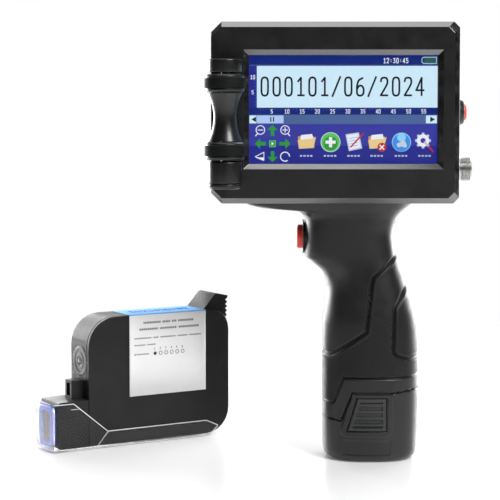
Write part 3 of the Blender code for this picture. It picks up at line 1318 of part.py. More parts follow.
clear_scene()
PARTS = new_collection("date_code_inkjet_printer")
CUTTERS = new_collection("cutters")
FRAMES = {}

PLASTIC = new_material("black_plastic", (0.020, 0.020, 0.021), 0.42)
GLOSS_BLACK = new_material("gloss_black", (0.015, 0.015, 0.016), 0.25)
GREY_PLASTIC = new_material("grey_plastic", (0.045, 0.046, 0.048), 0.45)
RUBBER = new_material("black_rubber", (0.018, 0.018, 0.018), 0.75)
INK_PLASTIC = new_material("ink_plastic", (0.035, 0.035, 0.036), 0.38)
RED = new_material("red_plastic", (0.62, 0.040, 0.030), 0.30)
STEEL = new_material("steel", (0.62, 0.62, 0.63), 0.28, 1.0)
NICKEL = new_material("nickel", (0.72, 0.71, 0.69), 0.20, 1.0)
BRASS = new_material("brass", (0.80, 0.58, 0.28), 0.30, 1.0)
GLASS = new_material("touch_glass", (0.85, 0.88, 0.90), 0.05, alpha=0.35)
DISPLAY = new_material("display", (0.05, 0.08, 0.35), 0.20)
BOARD = new_material("circuit_board", (0.02, 0.16, 0.06), 0.50)
CELL_WRAP = new_material("cell_wrap", (0.05, 0.20, 0.42), 0.35)
SPONGE = new_material("ink_sponge", (0.03, 0.03, 0.04), 0.95)
PAPER = new_material("label_paper", (0.80, 0.80, 0.80), 0.55)
CLEAR = new_material("clear_plastic", (0.90, 0.92, 0.94), 0.08, alpha=0.35)
SEAL = new_material("seal_rubber", (0.05, 0.22, 0.90), 0.40)

build_head_front()
build_screen()
build_head_back()
build_print_plate()
build_contact_board()
build_cartridge_latch()
build_head_screws()
build_power_button()
build_socket()

LOWER_WHEEL, SPOOL, UPPER_WHEEL = roller_heights()
build_roller_housings()
build_roller_axle()
build_wheel("lower", *LOWER_WHEEL)
build_wheel("upper", *UPPER_WHEEL)
build_spool(*SPOOL)

build_grip_halves()
build_grip_skins()
build_trigger()

build_battery_case()
build_latch_button("front", -1)
build_latch_button("back", 1)
build_cells()
build_battery_top()

FRAMES["parent"] = bpy.data.objects.new("cartridge_frame", None)
PARTS.objects.link(FRAMES["parent"])
FRAMES["parent"].location = CARTRIDGE_PLACE
FRAMES["parent"].rotation_euler = (0, 0, CARTRIDGE_TURN)
build_cartridge_body()
build_cartridge_details()
build_label()
build_nozzle_cap()
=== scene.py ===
"""Looks of the handheld date code printer and its ink cartridge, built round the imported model.

Units are metres, +Z is up, and the screen faces -Y. Places come from the frame.
"""
import json
import math

import bmesh
import bpy
import numpy as np
from mathutils import Matrix, Vector


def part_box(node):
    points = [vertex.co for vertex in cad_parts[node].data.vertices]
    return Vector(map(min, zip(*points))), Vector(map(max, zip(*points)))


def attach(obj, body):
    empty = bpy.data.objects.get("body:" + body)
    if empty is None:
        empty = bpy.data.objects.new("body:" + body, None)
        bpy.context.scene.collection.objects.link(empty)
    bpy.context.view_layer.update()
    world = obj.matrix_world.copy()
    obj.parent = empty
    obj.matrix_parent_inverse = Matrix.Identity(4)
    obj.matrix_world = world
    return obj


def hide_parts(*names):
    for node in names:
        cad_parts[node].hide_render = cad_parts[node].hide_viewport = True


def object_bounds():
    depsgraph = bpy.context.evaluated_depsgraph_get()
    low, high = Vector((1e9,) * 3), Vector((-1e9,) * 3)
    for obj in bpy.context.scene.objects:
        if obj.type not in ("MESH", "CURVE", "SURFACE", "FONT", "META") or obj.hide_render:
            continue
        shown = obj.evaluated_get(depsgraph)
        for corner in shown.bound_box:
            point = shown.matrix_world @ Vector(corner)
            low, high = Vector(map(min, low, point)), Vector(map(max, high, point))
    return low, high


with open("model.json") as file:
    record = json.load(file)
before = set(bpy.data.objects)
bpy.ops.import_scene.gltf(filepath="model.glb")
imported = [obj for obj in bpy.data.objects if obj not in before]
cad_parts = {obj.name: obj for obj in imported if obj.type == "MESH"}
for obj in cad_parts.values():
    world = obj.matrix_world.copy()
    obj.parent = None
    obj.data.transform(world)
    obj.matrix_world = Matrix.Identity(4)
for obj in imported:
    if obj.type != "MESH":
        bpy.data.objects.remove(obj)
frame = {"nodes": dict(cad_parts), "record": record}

CAD_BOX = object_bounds()
MM = 0.001
SHARP_ANGLE = 32.0
BODY_OF = {node: body for body, nodes in frame["record"]["behaviour"]["bodies"].items() for node in nodes}
SLOT_OF = {part["node"]: part["material_slot"] for part in frame["record"]["subparts"]}
HEAD_RIGHT = max(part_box("head_front_shell")[1].x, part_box("head_back_shell")[1].x)


# ---------------------------------------------------------------- node helpers

class Nodes:
    """Short calls for building one material's node tree."""

    def __init__(self, name):
        self.material = bpy.data.materials.new(name)
        self.material.use_nodes = True
        self.tree = self.material.node_tree
        self.shader = self.tree.nodes["Principled BSDF"]
        self.coords = self.tree.nodes.new("ShaderNodeTexCoord").outputs["Object"]

    def add(self, kind, **values):
        """New node: capitalised names are its sockets, the others its settings."""
        node = self.tree.nodes.new(kind)
        for key, value in values.items():
            if key[0].isupper():
                node.inputs[key.replace("_", " ")].default_value = value
            else:
                setattr(node, key, value)
        return node

    def link(self, start, end):
        self.tree.links.new(start, end)

    def mapped(self, **values):
        """The object's coordinates, stretched or turned."""
        mapping = self.add("ShaderNodeMapping", **values)
        self.link(self.coords, mapping.inputs["Vector"])
        return mapping.outputs["Vector"]

    def noise(self, scale, detail=3.0, roughness=0.5, vector=None):
        node = self.add("ShaderNodeTexNoise", Scale=scale, Detail=detail, Roughness=roughness)
        self.link(vector or self.coords, node.inputs["Vector"])
        return node.outputs["Fac"]

    def cells(self, scale, feature="F1"):
        node = self.add("ShaderNodeTexVoronoi", feature=feature, Scale=scale)
        self.link(self.coords, node.inputs["Vector"])
        return node.outputs["Distance"]

    def ramp(self, value, low, high, start=0.35, end=0.65):
        node = self.add("ShaderNodeValToRGB")
        for stop, position, colour in zip(node.color_ramp.elements, (start, end), (low, high)):
            stop.position = position
            stop.color = (*colour, 1.0)
        self.link(value, node.inputs["Fac"])
        return node.outputs["Color"]

    def span(self, value, low, high, start=0.3, end=0.7):
        node = self.add("ShaderNodeMapRange", From_Min=start, From_Max=end, To_Min=low, To_Max=high)
        self.link(value, node.inputs["Value"])
        return node.outputs["Result"]

    def sum(self, first, second, operation="ADD"):
        node = self.add("ShaderNodeMath", operation=operation)
        self.link(first, node.inputs[0])
        self.link(second, node.inputs[1])
        return node.outputs["Value"]

    def tone(self, value, dark, light):
        """Clouds between two colours."""
        self.link(self.ramp(value, dark, light), self.shader.inputs["Base Color"])

    def polish(self, value, low, high):
        """Roughness that wanders between two values."""
        self.link(self.span(value, low, high), self.shader.inputs["Roughness"])

    def bump(self, height, distance):
        node = self.add("ShaderNodeBump", Distance=distance)
        self.link(height, node.inputs["Height"])
        self.link(node.outputs["Normal"], self.shader.inputs["Normal"])

    def set(self, **values):
        for key, value in values.items():
            self.shader.inputs[key.replace("_", " ")].default_value = value


# ---------------------------------------------------------------- materials

def moulded(name, dark, light, rough, grain=2600.0, depth=0.012 * MM, coat=0.0, sheen=0.0, shine=0.5):
    """Moulded plastic: fine eroded grain, cloudy tone and uneven polish."""
    n = Nodes(name)
    n.tone(n.noise(55.0, 4.0), dark, light)
    n.polish(n.noise(140.0, 5.0, 0.6), rough - 0.05, rough + 0.05)
    n.bump(n.sum(n.noise(grain, 2.0), n.cells(grain * 0.8)), depth)
    n.set(Coat_Weight=coat, Coat_Roughness=0.12, Sheen_Weight=sheen, Sheen_Roughness=0.30)
    n.set(Specular_IOR_Level=shine)
    return n.material


def rubbery(name, dark, light, rough, grain=1700.0, depth=0.030 * MM, sheen=0.0, shine=0.3):
    """Soft moulding: pebbled skin with dusty high spots."""
    n = Nodes(name)
    n.tone(n.noise(70.0, 5.0, 0.6), dark, light)
    n.polish(n.noise(260.0, 4.0), rough - 0.06, rough + 0.08)
    n.bump(n.cells(grain, "SMOOTH_F1"), depth)
    n.set(Specular_IOR_Level=shine, Sheen_Weight=sheen, Sheen_Roughness=0.30)
    return n.material


def metal(name, dark, light, rough, stretch=(1.0, 1.0, 1.0), scale=900.0, depth=0.004 * MM):
    """Metal with fine drawn lines along the axis that is stretched least."""
    n = Nodes(name)
    lines = n.noise(scale, 3.0, 0.6, n.mapped(Scale=stretch))
    n.tone(lines, dark, light)
    n.polish(lines, rough - 0.06, rough + 0.08)
    n.bump(lines, depth)
    n.set(Metallic=1.0)
    return n.material


def glossy(name, dark, light, rough, coat=0.4):
    """Polished plastic with a faint orange-peel surface."""
    n = Nodes(name)
    n.tone(n.noise(90.0, 3.0), dark, light)
    n.polish(n.noise(400.0, 4.0), rough - 0.04, rough + 0.06)
    n.bump(n.noise(700.0, 2.0), 0.006 * MM)
    n.set(Coat_Weight=coat, Coat_Roughness=0.08)
    return n.material


def clear(name, tint, ior, alpha=1.0):
    """Clear moulded plastic or glass with faint flow marks."""
    n = Nodes(name)
    n.tone(n.noise(120.0, 3.0), tint, (1.0, 1.0, 1.0))
    n.bump(n.noise(90.0, 2.0), 0.002 * MM)
    n.set(Transmission_Weight=1.0, IOR=ior, Roughness=0.0, Specular_IOR_Level=0.2, Alpha=alpha)
    return n.material


def printed(name, dark, light):
    """Ink or paper film: nearly even, and dull."""
    n = Nodes(name)
    n.tone(n.noise(160.0, 4.0), dark, light)
    n.polish(n.noise(500.0, 3.0), 0.50, 0.62)
    n.bump(n.noise(2400.0, 3.0), 0.003 * MM)
    n.set(Specular_IOR_Level=0.3)
    return n.material


def lit(name, colour, strength, deep=0.86):
    """Lit liquid-crystal surface: even light with a faint dot pattern."""
    n = Nodes(f"screen_{name}")
    dots = n.sum(n.noise(3200.0, 1.0), n.noise(30.0, 2.0), "MULTIPLY")
    shade = tuple(deep * value for value in colour)
    n.link(n.ramp(dots, shade, colour, 0.05, 0.30), n.shader.inputs["Emission Color"])
    n.set(Base_Color=(0.01, 0.01, 0.012, 1.0), Emission_Strength=strength, Roughness=0.35,
          Specular_IOR_Level=0.2)
    return n.material


def board_material():
    """Solder mask over copper traces."""
    n = Nodes("circuit_board")
    traces = n.add("ShaderNodeTexBrick", Scale=260.0, Color1=(0.010, 0.085, 0.035, 1.0),
                   Color2=(0.014, 0.105, 0.045, 1.0), Mortar=(0.050, 0.190, 0.070, 1.0))
    n.link(n.mapped(Rotation=(math.pi / 2, 0.0, 0.0)), traces.inputs["Vector"])
    n.link(traces.outputs["Color"], n.shader.inputs["Base Color"])
    n.polish(n.noise(300.0), 0.35, 0.5)
    n.bump(traces.outputs["Fac"], 0.02 * MM)
    return n.material


BLACK = moulded("black_plastic", (0.0040, 0.0040, 0.0042), (0.0062, 0.0062, 0.0064), 0.34)
GRIP_BLACK = moulded("grip_plastic", (0.0045, 0.0045, 0.0042), (0.0070, 0.0070, 0.0066), 0.38, sheen=0.35)
BATTERY_BLACK = moulded("battery_plastic", (0.0080, 0.0080, 0.0078), (0.0115, 0.0115, 0.0111), 0.38,
                        sheen=0.35)
BUTTON_GREY = moulded("button_grey", (0.020, 0.021, 0.021), (0.027, 0.028, 0.028), 0.38)
TANK = moulded("ink_plastic", (0.0120, 0.0120, 0.0122), (0.0160, 0.0160, 0.0162), 0.40, shine=0.26)
PLUG = moulded("plug_grey", (0.30, 0.305, 0.31), (0.38, 0.385, 0.39), 0.50, shine=0.3)
# Near-white opaque plastic for the clear cap's edge strips: a painted highlight for the light that clear
# edges catch.
PAINTED_EDGE_HIGHLIGHT = moulded("cap_edge_painted_highlight", (0.72, 0.72, 0.76), (0.92, 0.92, 0.96), 0.22, 700.0, 0.004 * MM, 0.5)
LABEL_WHITE = moulded("label_white", (0.84, 0.84, 0.84), (0.88, 0.88, 0.88), 0.5, 900.0, 0.002 * MM)
RUBBER = rubbery("black_rubber", (0.0050, 0.0050, 0.0048), (0.0080, 0.0080, 0.0077), 0.46, 2200.0,
                 0.018 * MM, 0.35)
TYRE = rubbery("tyre_rubber", (0.0030, 0.0040, 0.0035), (0.0050, 0.0062, 0.0056), 0.66, shine=0.16)
FOAM = rubbery("ink_foam", (0.01, 0.01, 0.012), (0.03, 0.03, 0.035), 0.9, 900.0, 0.2 * MM)
STEEL = metal("brushed_steel", (0.24, 0.24, 0.245), (0.34, 0.34, 0.345), 0.42, (1.0, 12.0, 12.0))
NICKEL = metal("nickel", (0.42, 0.42, 0.41), (0.56, 0.56, 0.55), 0.30, (10.0, 1.0, 1.0), 500.0)
GOLD = metal("gold_contacts", (0.70, 0.48, 0.20), (0.86, 0.64, 0.32), 0.26)
COPPER = metal("orifice_metal", (0.16, 0.10, 0.12), (0.24, 0.15, 0.17), 0.45)
EDGE = metal("polished_edge", (0.180, 0.180, 0.184), (0.205, 0.205, 0.209), 0.20, (0.15, 1.0, 1.0), 160.0,
             0.0005 * MM)
GLOSS_BLACK = glossy("gloss_black", (0.0030, 0.0030, 0.0032), (0.0050, 0.0050, 0.0053), 0.34, 0.1)
RED = glossy("red_plastic", (0.78, 0.028, 0.014), (0.86, 0.040, 0.020), 0.38, 0.1)
CELL = glossy("cell_wrap", (0.03, 0.14, 0.33), (0.04, 0.18, 0.40), 0.3)
BLUE_SEAL = glossy("seal_rubber", (0.010, 0.17, 0.95), (0.020, 0.25, 1.0), 0.35, 0.2)
LCD_FRAME = glossy("lcd_frame", (0.010, 0.010, 0.012), (0.014, 0.014, 0.016), 0.35)
CLEAR = clear("clear_plastic", (0.96, 0.95, 0.99), 1.40, 0.35)
CLEAR_VIOLET = clear("clear_violet", (0.66, 0.60, 0.98), 1.35)
GLASS = clear("touch_glass", (0.985, 0.99, 0.995), 1.45)
LABEL_BLUE = printed("label_blue", (0.115, 0.405, 0.93), (0.135, 0.440, 0.98))
PRINT_INK = printed("label_print", (0.035, 0.035, 0.038), (0.055, 0.055, 0.060))
INK_DARK = printed("nozzle_dark", (0.02, 0.015, 0.02), (0.04, 0.03, 0.035))
BOARD = board_material()

NAVY = lit("navy", (0.003, 0.018, 0.190), 1.0)
DEEP = lit("deep", (0.016, 0.022, 0.270), 1.0)
VIOLET = lit("violet", (0.036, 0.042, 0.360), 1.0)
PALE = lit("pale", (0.64, 0.86, 1.00), 1.0, 0.97)
INK = lit("ink", (0.004, 0.006, 0.012), 0.6)
WHITE = lit("white", (0.90, 0.93, 1.00), 0.95, 0.97)
GREY_BLUE = lit("grey_blue", (0.075, 0.140, 0.340), 0.95)
THUMB = lit("thumb", (0.46, 0.64, 0.98), 0.97)
GREEN = lit("green", (0.030, 0.360, 0.045), 0.9)
BRIGHT_GREEN = lit("bright_green", (0.10, 0.62, 0.10), 0.95)
TEAL = lit("teal", (0.010, 0.135, 0.110), 0.9)
AMBER = lit("amber", (0.78, 0.42, 0.08), 0.95)
SAND = lit("sand", (0.90, 0.66, 0.28), 0.95)
SCREEN_RED = lit("red", (0.62, 0.030, 0.025), 0.9)
SKY = lit("sky", (0.04, 0.30, 0.85), 0.95)
LIGHT_SKY = lit("light_sky", (0.30, 0.68, 1.00), 0.95)
SILVER = lit("silver", (0.62, 0.68, 0.80), 0.95)


def paint_nodes():
    """Every CAD node takes its finish, shown or not."""
    by_slot = {"black_plastic": BLACK, "gloss_black": GLOSS_BLACK, "steel": STEEL, "touch_glass": GLASS,
               "display": LCD_FRAME, "circuit_board": BOARD, "grey_plastic": BUTTON_GREY,
               "red_plastic": RED, "nickel": NICKEL, "black_rubber": RUBBER, "cell_wrap": CELL,
               "brass": GOLD, "ink_plastic": TANK, "ink_sponge": FOAM, "label_paper": LABEL_WHITE,
               "clear_plastic": CLEAR, "seal_rubber": BLUE_SEAL}
    for node, thing in frame["nodes"].items():
        material = by_slot[SLOT_OF[node]]
        if not thing.data.materials:
            thing.data.materials.append(material)
        for number in range(len(thing.data.materials)):
            thing.data.materials[number] = material
        thing.data.set_sharp_from_angle(angle=math.radians(SHARP_ANGLE))


# ---------------------------------------------------------------- shape helpers

WELD = 0.002 * MM
CAD_WELD = 0.005 * MM
FLAT_ANGLE = 0.6


def add_piece(name, mesh, material, like, replaces=(), angle=SHARP_ANGLE):
    """Makes a piece that rides with CAD node `like`, in the given material."""
    thing = bpy.data.objects.new(name, mesh)
    bpy.context.scene.collection.objects.link(thing)
    mesh.materials.clear()
    mesh.materials.append(material)
    mesh.shade_smooth()
    mesh.set_sharp_from_angle(angle=math.radians(angle))
    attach(thing, BODY_OF[like])
    if replaces:
        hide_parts(*replaces)
    return thing


def plain_mesh(name, points, faces):
    mesh = bpy.data.meshes.new(name)
    mesh.from_pydata([tuple(p) for p in points], [], faces)
    return mesh


def mesh_of(name, points, faces, weld=WELD):
    """Mesh whose points are welded and whose faces look outwards."""
    mesh = plain_mesh(name, points, faces)
    work = bmesh.new()
    work.from_mesh(mesh)
    if weld:
        bmesh.ops.remove_doubles(work, verts=work.verts, dist=weld)
    bmesh.ops.recalc_face_normals(work, faces=work.faces)
    work.to_mesh(mesh)
    work.free()
    return mesh


def grid_faces(rows, columns, round_rows=False, round_columns=False, start=0):
    """Four-sided faces over a grid of points, which may close round on itself either way."""
    faces = []
    for row in range(rows - (not round_rows)):
        here = start + row * columns
        after = start + (row + 1) % rows * columns
        for i in range(columns - (not round_columns)):
            j = (i + 1) % columns
            faces.append((here + i, here + j, after + j, after + i))
    return faces


def flat_faces(outlines, at):
    """Points and faces of flat outlines, each put in space by at(a, b)."""
    points = []
    faces = []
    for outline in outlines:
        start = len(points)
        points += [at(a, b) for a, b in outline]
        faces.append(tuple(range(start, len(points))))
    return points, faces


def plates(outlines, low, high, at):
    """Points and faces of plates between two depths, each point put in space by at(a, b, depth)."""
    points = []
    faces = []
    for outline in outlines:
        start = len(points)
        count = len(outline)
        points += [at(a, b, low) for a, b in outline] + [at(a, b, high) for a, b in outline]
        faces += [tuple(range(start, start + count)), tuple(range(start + count, start + 2 * count))[::-1]]
        faces += grid_faces(2, count, False, True, start)
    return points, faces


def round_edges(thing, width, segments, angle, harden=False):
    """Rounds every edge sharper than the angle."""
    bevel = thing.modifiers.new("rounded_edges", "BEVEL")
    bevel.width = width
    bevel.segments = segments
    bevel.limit_method = "ANGLE"
    bevel.angle_limit = math.radians(angle)
    bevel.harden_normals = harden


def thicken(thing, wall):
    """Gives a skin a wall, on its inner side."""
    solid = thing.modifiers.new("wall", "SOLIDIFY")
    solid.thickness = wall
    solid.offset = -1.0


def refined(node, material, width, segments, angle):
    """The CAD node's own form with its flat faces made whole and its edges rounded."""
    mesh = frame["nodes"][node].data.copy()
    mesh.name = f"{node}_fine"
    work = bmesh.new()
    work.from_mesh(mesh)
    bmesh.ops.remove_doubles(work, verts=work.verts, dist=CAD_WELD)
    bmesh.ops.dissolve_limit(work, angle_limit=math.radians(FLAT_ANGLE), verts=work.verts, edges=work.edges)
    work.to_mesh(mesh)
    work.free()
    thing = add_piece(mesh.name, mesh, material, node, (node,), angle)
    round_edges(thing, width, segments, angle, True)
    return thing


def filleted(profile, radius, steps=4):
    """Polyline of (radius, height) pairs whose inner corners are rounded."""
    points = [Vector(p) for p in profile]
    result = [tuple(points[0])]
    for before, here, after in zip(points, points[1:], points[2:]):
        first = before - here
        second = after - here
        reach = min(radius, 0.45 * first.length, 0.45 * second.length)
        start = here + first.normalized() * reach
        end = here + second.normalized() * reach
        for step in range(steps + 1):
            t = step / steps
            result.append(tuple((1 - t) ** 2 * start + 2 * t * (1 - t) * here + t * t * end))
    result.append(tuple(points[-1]))
    return result


def lathe(name, profile, material, like, place, axis=(0, 0, 1), steps=96, angle=SHARP_ANGLE):
    """Turned body in place of CAD node `like`: (radius, height) pairs round an axis through place."""
    turn_to = Vector((0, 0, 1)).rotation_difference(Vector(axis)).to_matrix().to_4x4()
    to_place = Matrix.Translation(place) @ turn_to
    points = [to_place @ Vector((radius * math.cos(turn), radius * math.sin(turn), height))
              for turn in (2 * math.pi * step / steps for step in range(steps)) for radius, height in profile]
    mesh = mesh_of(name, points, grid_faces(steps, len(profile), True))
    return add_piece(name, mesh, material, like, (like,), angle)


def centre(node):
    low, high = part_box(node)
    return (low + high) / 2


# ---------------------------------------------------------------- head

# A front face that leans this much toward -Y, and is this large, is the bright band round the front.
BAND_LEAN = (0.2, 0.95)
BAND_AREA = 10 * MM * MM


def build_head():
    front = refined("head_front_shell", BLACK, 0.25 * MM, 2, 20.0)
    front.data.materials.append(EDGE)
    for face in front.data.polygons:
        if BAND_LEAN[0] < -face.normal.y < BAND_LEAN[1] and face.area > BAND_AREA:
            face.material_index = 1
    refined("head_back_shell", BLACK, 0.30 * MM, 2, 25.0)


# ---------------------------------------------------------------- what the screen shows

GLASS_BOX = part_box("touch_glass")
SHOWN_WIDTH, SHOWN_HEIGHT = 0.0950, 0.0546
SHOWN_LEFT = (GLASS_BOX[0].x + GLASS_BOX[1].x) / 2 - SHOWN_WIDTH / 2
SHOWN_BOTTOM = (GLASS_BOX[0].z + GLASS_BOX[1].z) / 2 - SHOWN_HEIGHT / 2
# Screen units: X to the right and Y down from the top left.
WIDE = 480
UNIT = SHOWN_WIDTH / WIDE
HIGH = SHOWN_HEIGHT / UNIT
FIRST_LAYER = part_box("lcd_panel")[0].y - 0.02 * MM
LAYER = 0.04 * MM
TITLE_HIGH, MESSAGE_HIGH = 27.0, 133.0
RULER_LOW, SCROLL_LOW, FOOT_LOW = 152.0, 174.0, 230
MESSAGE_LEFT = 20.0
DOT_PITCH = 7.75


def show(name, outlines, material, layer):
    """One lit piece made of several closed outlines in screen units."""
    points, faces = flat_faces(outlines, lambda x, y: (
        SHOWN_LEFT + x * UNIT, FIRST_LAYER - layer * LAYER, SHOWN_BOTTOM + (HIGH - y) * UNIT))
    mesh = plain_mesh(name, points, faces)
    work = bmesh.new()
    work.from_mesh(mesh)
    bmesh.ops.recalc_face_normals(work, faces=work.faces)
    for face in work.faces:
        if face.normal.y > 0:
            face.normal_flip()
    bmesh.ops.triangulate(work, faces=work.faces)
    work.to_mesh(mesh)
    work.free()
    add_piece(f"screen_{name}", mesh, material, "lcd_panel")


def box(x0, y0, x1, y1):
    return (x0, y0), (x1, y0), (x1, y1), (x0, y1)


def square(x, y, half):
    return box(x - half, y - half, x + half, y + half)


def disc(x, y, radius, sides=28):
    turns = [2 * math.pi * i / sides for i in range(sides)]
    return [(x + radius * math.cos(t), y + radius * math.sin(t)) for t in turns]


def stroke(points, width):
    """Boxes along a line, as outlines."""
    result = []
    for (x0, y0), (x1, y1) in zip(points, points[1:]):
        along = Vector((x1 - x0, y1 - y0))
        side = Vector((-along.y, along.x)).normalized() * width / 2
        more = along.normalized() * width * 0.35
        start, end = Vector((x0, y0)) - more, Vector((x1, y1)) + more
        result.append([tuple(corner) for corner in (start + side, end + side, end - side, start - side)])
    return result


def strokes(lines, width):
    return sum([stroke(line, width) for line in lines], [])


def circle_stroke(x, y, radius, width, start=0.0, end=360.0, steps=24):
    turns = [math.radians(start + (end - start) * i / steps) for i in range(steps + 1)]
    return stroke([(x + radius * math.cos(t), y + radius * math.sin(t)) for t in turns], width)


# Plain numerals drawn as strokes in a box one unit wide and two units high.
NUMERALS = {
    "0": [[(0.12, 1.0), (0.12, 0.3), (0.3, 0.02), (0.7, 0.02), (0.88, 0.3), (0.88, 1.0)],
          [(0.88, 1.0), (0.88, 1.7), (0.7, 1.98), (0.3, 1.98), (0.12, 1.7), (0.12, 1.0)]],
    "1": [[(0.2, 0.45), (0.55, 0.05), (0.55, 1.95)], [(0.2, 1.95), (0.9, 1.95)]],
    "2": [[(0.12, 0.45), (0.2, 0.05), (0.8, 0.03), (0.92, 0.5), (0.75, 0.95), (0.12, 1.95)],
          [(0.12, 1.95), (0.9, 1.95)]],
    "3": [[(0.12, 0.1), (0.85, 0.1), (0.45, 0.8), (0.85, 1.1), (0.85, 1.65), (0.5, 1.95), (0.12, 1.7)]],
    "4": [[(0.70, 1.95), (0.70, 0.05), (0.08, 1.4), (0.95, 1.4)]],
    "5": [[(0.85, 0.08), (0.2, 0.08), (0.15, 0.9), (0.55, 0.75), (0.87, 1.1), (0.85, 1.65), (0.5, 1.95),
           (0.12, 1.75)]],
    "6": [[(0.78, 0.08), (0.3, 0.3), (0.12, 0.9), (0.12, 1.35), (0.12, 1.75), (0.3, 1.98), (0.7, 1.98),
           (0.9, 1.7), (0.9, 1.2), (0.7, 0.9), (0.35, 0.9), (0.13, 1.3)]],
    "7": [[(0.12, 0.08), (0.88, 0.08), (0.4, 1.95)]],
    "8": [[(0.5, 0.95), (0.18, 0.65), (0.2, 0.25), (0.5, 0.05), (0.8, 0.25), (0.82, 0.65), (0.5, 0.95),
           (0.85, 1.3), (0.85, 1.7), (0.5, 1.95), (0.15, 1.7), (0.15, 1.3), (0.5, 0.95)]],
    "9": [[(0.2, 1.88), (0.6, 1.7), (0.85, 1.1), (0.85, 0.35), (0.5, 0.05), (0.15, 0.35), (0.15, 0.8),
           (0.5, 1.05), (0.85, 0.75)]],
    "/": [[(0.05, 2.05), (0.95, -0.05)]],
    ":": [[(0.5, 0.55), (0.5, 0.70)], [(0.5, 1.30), (0.5, 1.45)]],
}
ANGULAR = "147/:"


def smoothed(line, rounds=2):
    """Line with its corners cut, ends kept."""
    for _ in range(rounds):
        cut = [line[0]]
        for (x0, y0), (x1, y1) in zip(line, line[1:]):
            cut += [(x0 + t * (x1 - x0), y0 + t * (y1 - y0)) for t in (0.25, 0.75)]
        line = cut + [line[-1]]
    return line


def numerals(text, x, y, width, height, pitch, weight, smooth=False):
    """Stroked outlines of plain numbers, from the top left corner."""
    outlines = []
    for place, mark in enumerate(text):
        for line in NUMERALS[mark]:
            if smooth and mark not in ANGULAR and len(line) > 2:
                line = smoothed(line)
            points = [(x + place * pitch + px * width, y + py / 2 * height) for px, py in line]
            outlines += stroke(points, weight)
    return outlines


def build_screen_fields():
    for name, material, field in (("title_bar", NAVY, (0, 0, WIDE, TITLE_HIGH)),
                                  ("message_field", PALE, (MESSAGE_LEFT, TITLE_HIGH, WIDE, MESSAGE_HIGH)),
                                  ("side_ruler", DEEP, (0, TITLE_HIGH, MESSAGE_LEFT, MESSAGE_HIGH)),
                                  ("ruler", NAVY, (0, MESSAGE_HIGH, WIDE, RULER_LOW)),
                                  ("scroll_track", GREY_BLUE, (20, RULER_LOW, 451, SCROLL_LOW)),
                                  ("lower_field", VIOLET, (0, SCROLL_LOW, WIDE, FOOT_LOW)),
                                  ("bottom_field", DEEP, (0, FOOT_LOW, WIDE, HIGH))):
        show(name, [box(*field)], material, 1)
    rules = [(TITLE_HIGH - 2.5, TITLE_HIGH - 1.0), (RULER_LOW - 1.0, RULER_LOW + 1.0),
             (SCROLL_LOW - 1.0, SCROLL_LOW + 1.0)]
    show("field_rules", [box(0, top, WIDE, bottom) for top, bottom in rules], GREY_BLUE, 2)


def build_screen_numbers():
    """The message, the clock, and the two rulers, numbered every fifth dot."""
    large = {"y": 56, "width": 22, "height": 47, "pitch": 30.4, "weight": 4.7, "smooth": True}
    small = {"width": 5.2, "pitch": 6.8, "weight": 1.5}
    show("message", numerals("0001", 29, **large) + numerals("01/06/2024", 150.6, **large), INK, 2)
    show("clock", numerals("12:30:45", 342, 7.5, 6, 12.5, 8.2, 1.7), WHITE, 2)
    marks = []
    ticks = []
    for number in range(56):
        x = MESSAGE_LEFT + number * DOT_PITCH
        text = str(number)
        if number % 5:
            ticks.append(box(x - 0.4, MESSAGE_HIGH + 1, x + 0.4, MESSAGE_HIGH + 7))
        elif number:
            start = x - small["pitch"] / 2 * len(text)
            marks += numerals(text, start, MESSAGE_HIGH + 4.5, height=10.5, **small)
    for number in range(1, 14):
        y = MESSAGE_HIGH - number * DOT_PITCH
        text = str(number)
        if number % 5:
            ticks.append(box(13, y - 0.4, 19, y + 0.4))
        else:
            start = MESSAGE_LEFT / 2 - small["pitch"] / 2 * len(text)
            marks += numerals(text, start, y - 5, height=10, **small)
    show("ruler_numbers", marks, WHITE, 2)
    show("ruler_ticks", ticks, GREY_BLUE, 2)


def arrow(x, y, turn, size=14.0):
    """Block arrow pointing the given way: 0 right, 90 down."""
    plain = ((-1, -0.32), (0.05, -0.32), (0.05, -0.95), (1.0, 0), (0.05, 0.95), (0.05, 0.32), (-1, 0.32))
    c, s = math.cos(math.radians(turn)), math.sin(math.radians(turn))
    return [(x + size * (c * px - s * py), y + size * (s * px + c * py)) for px, py in plain]


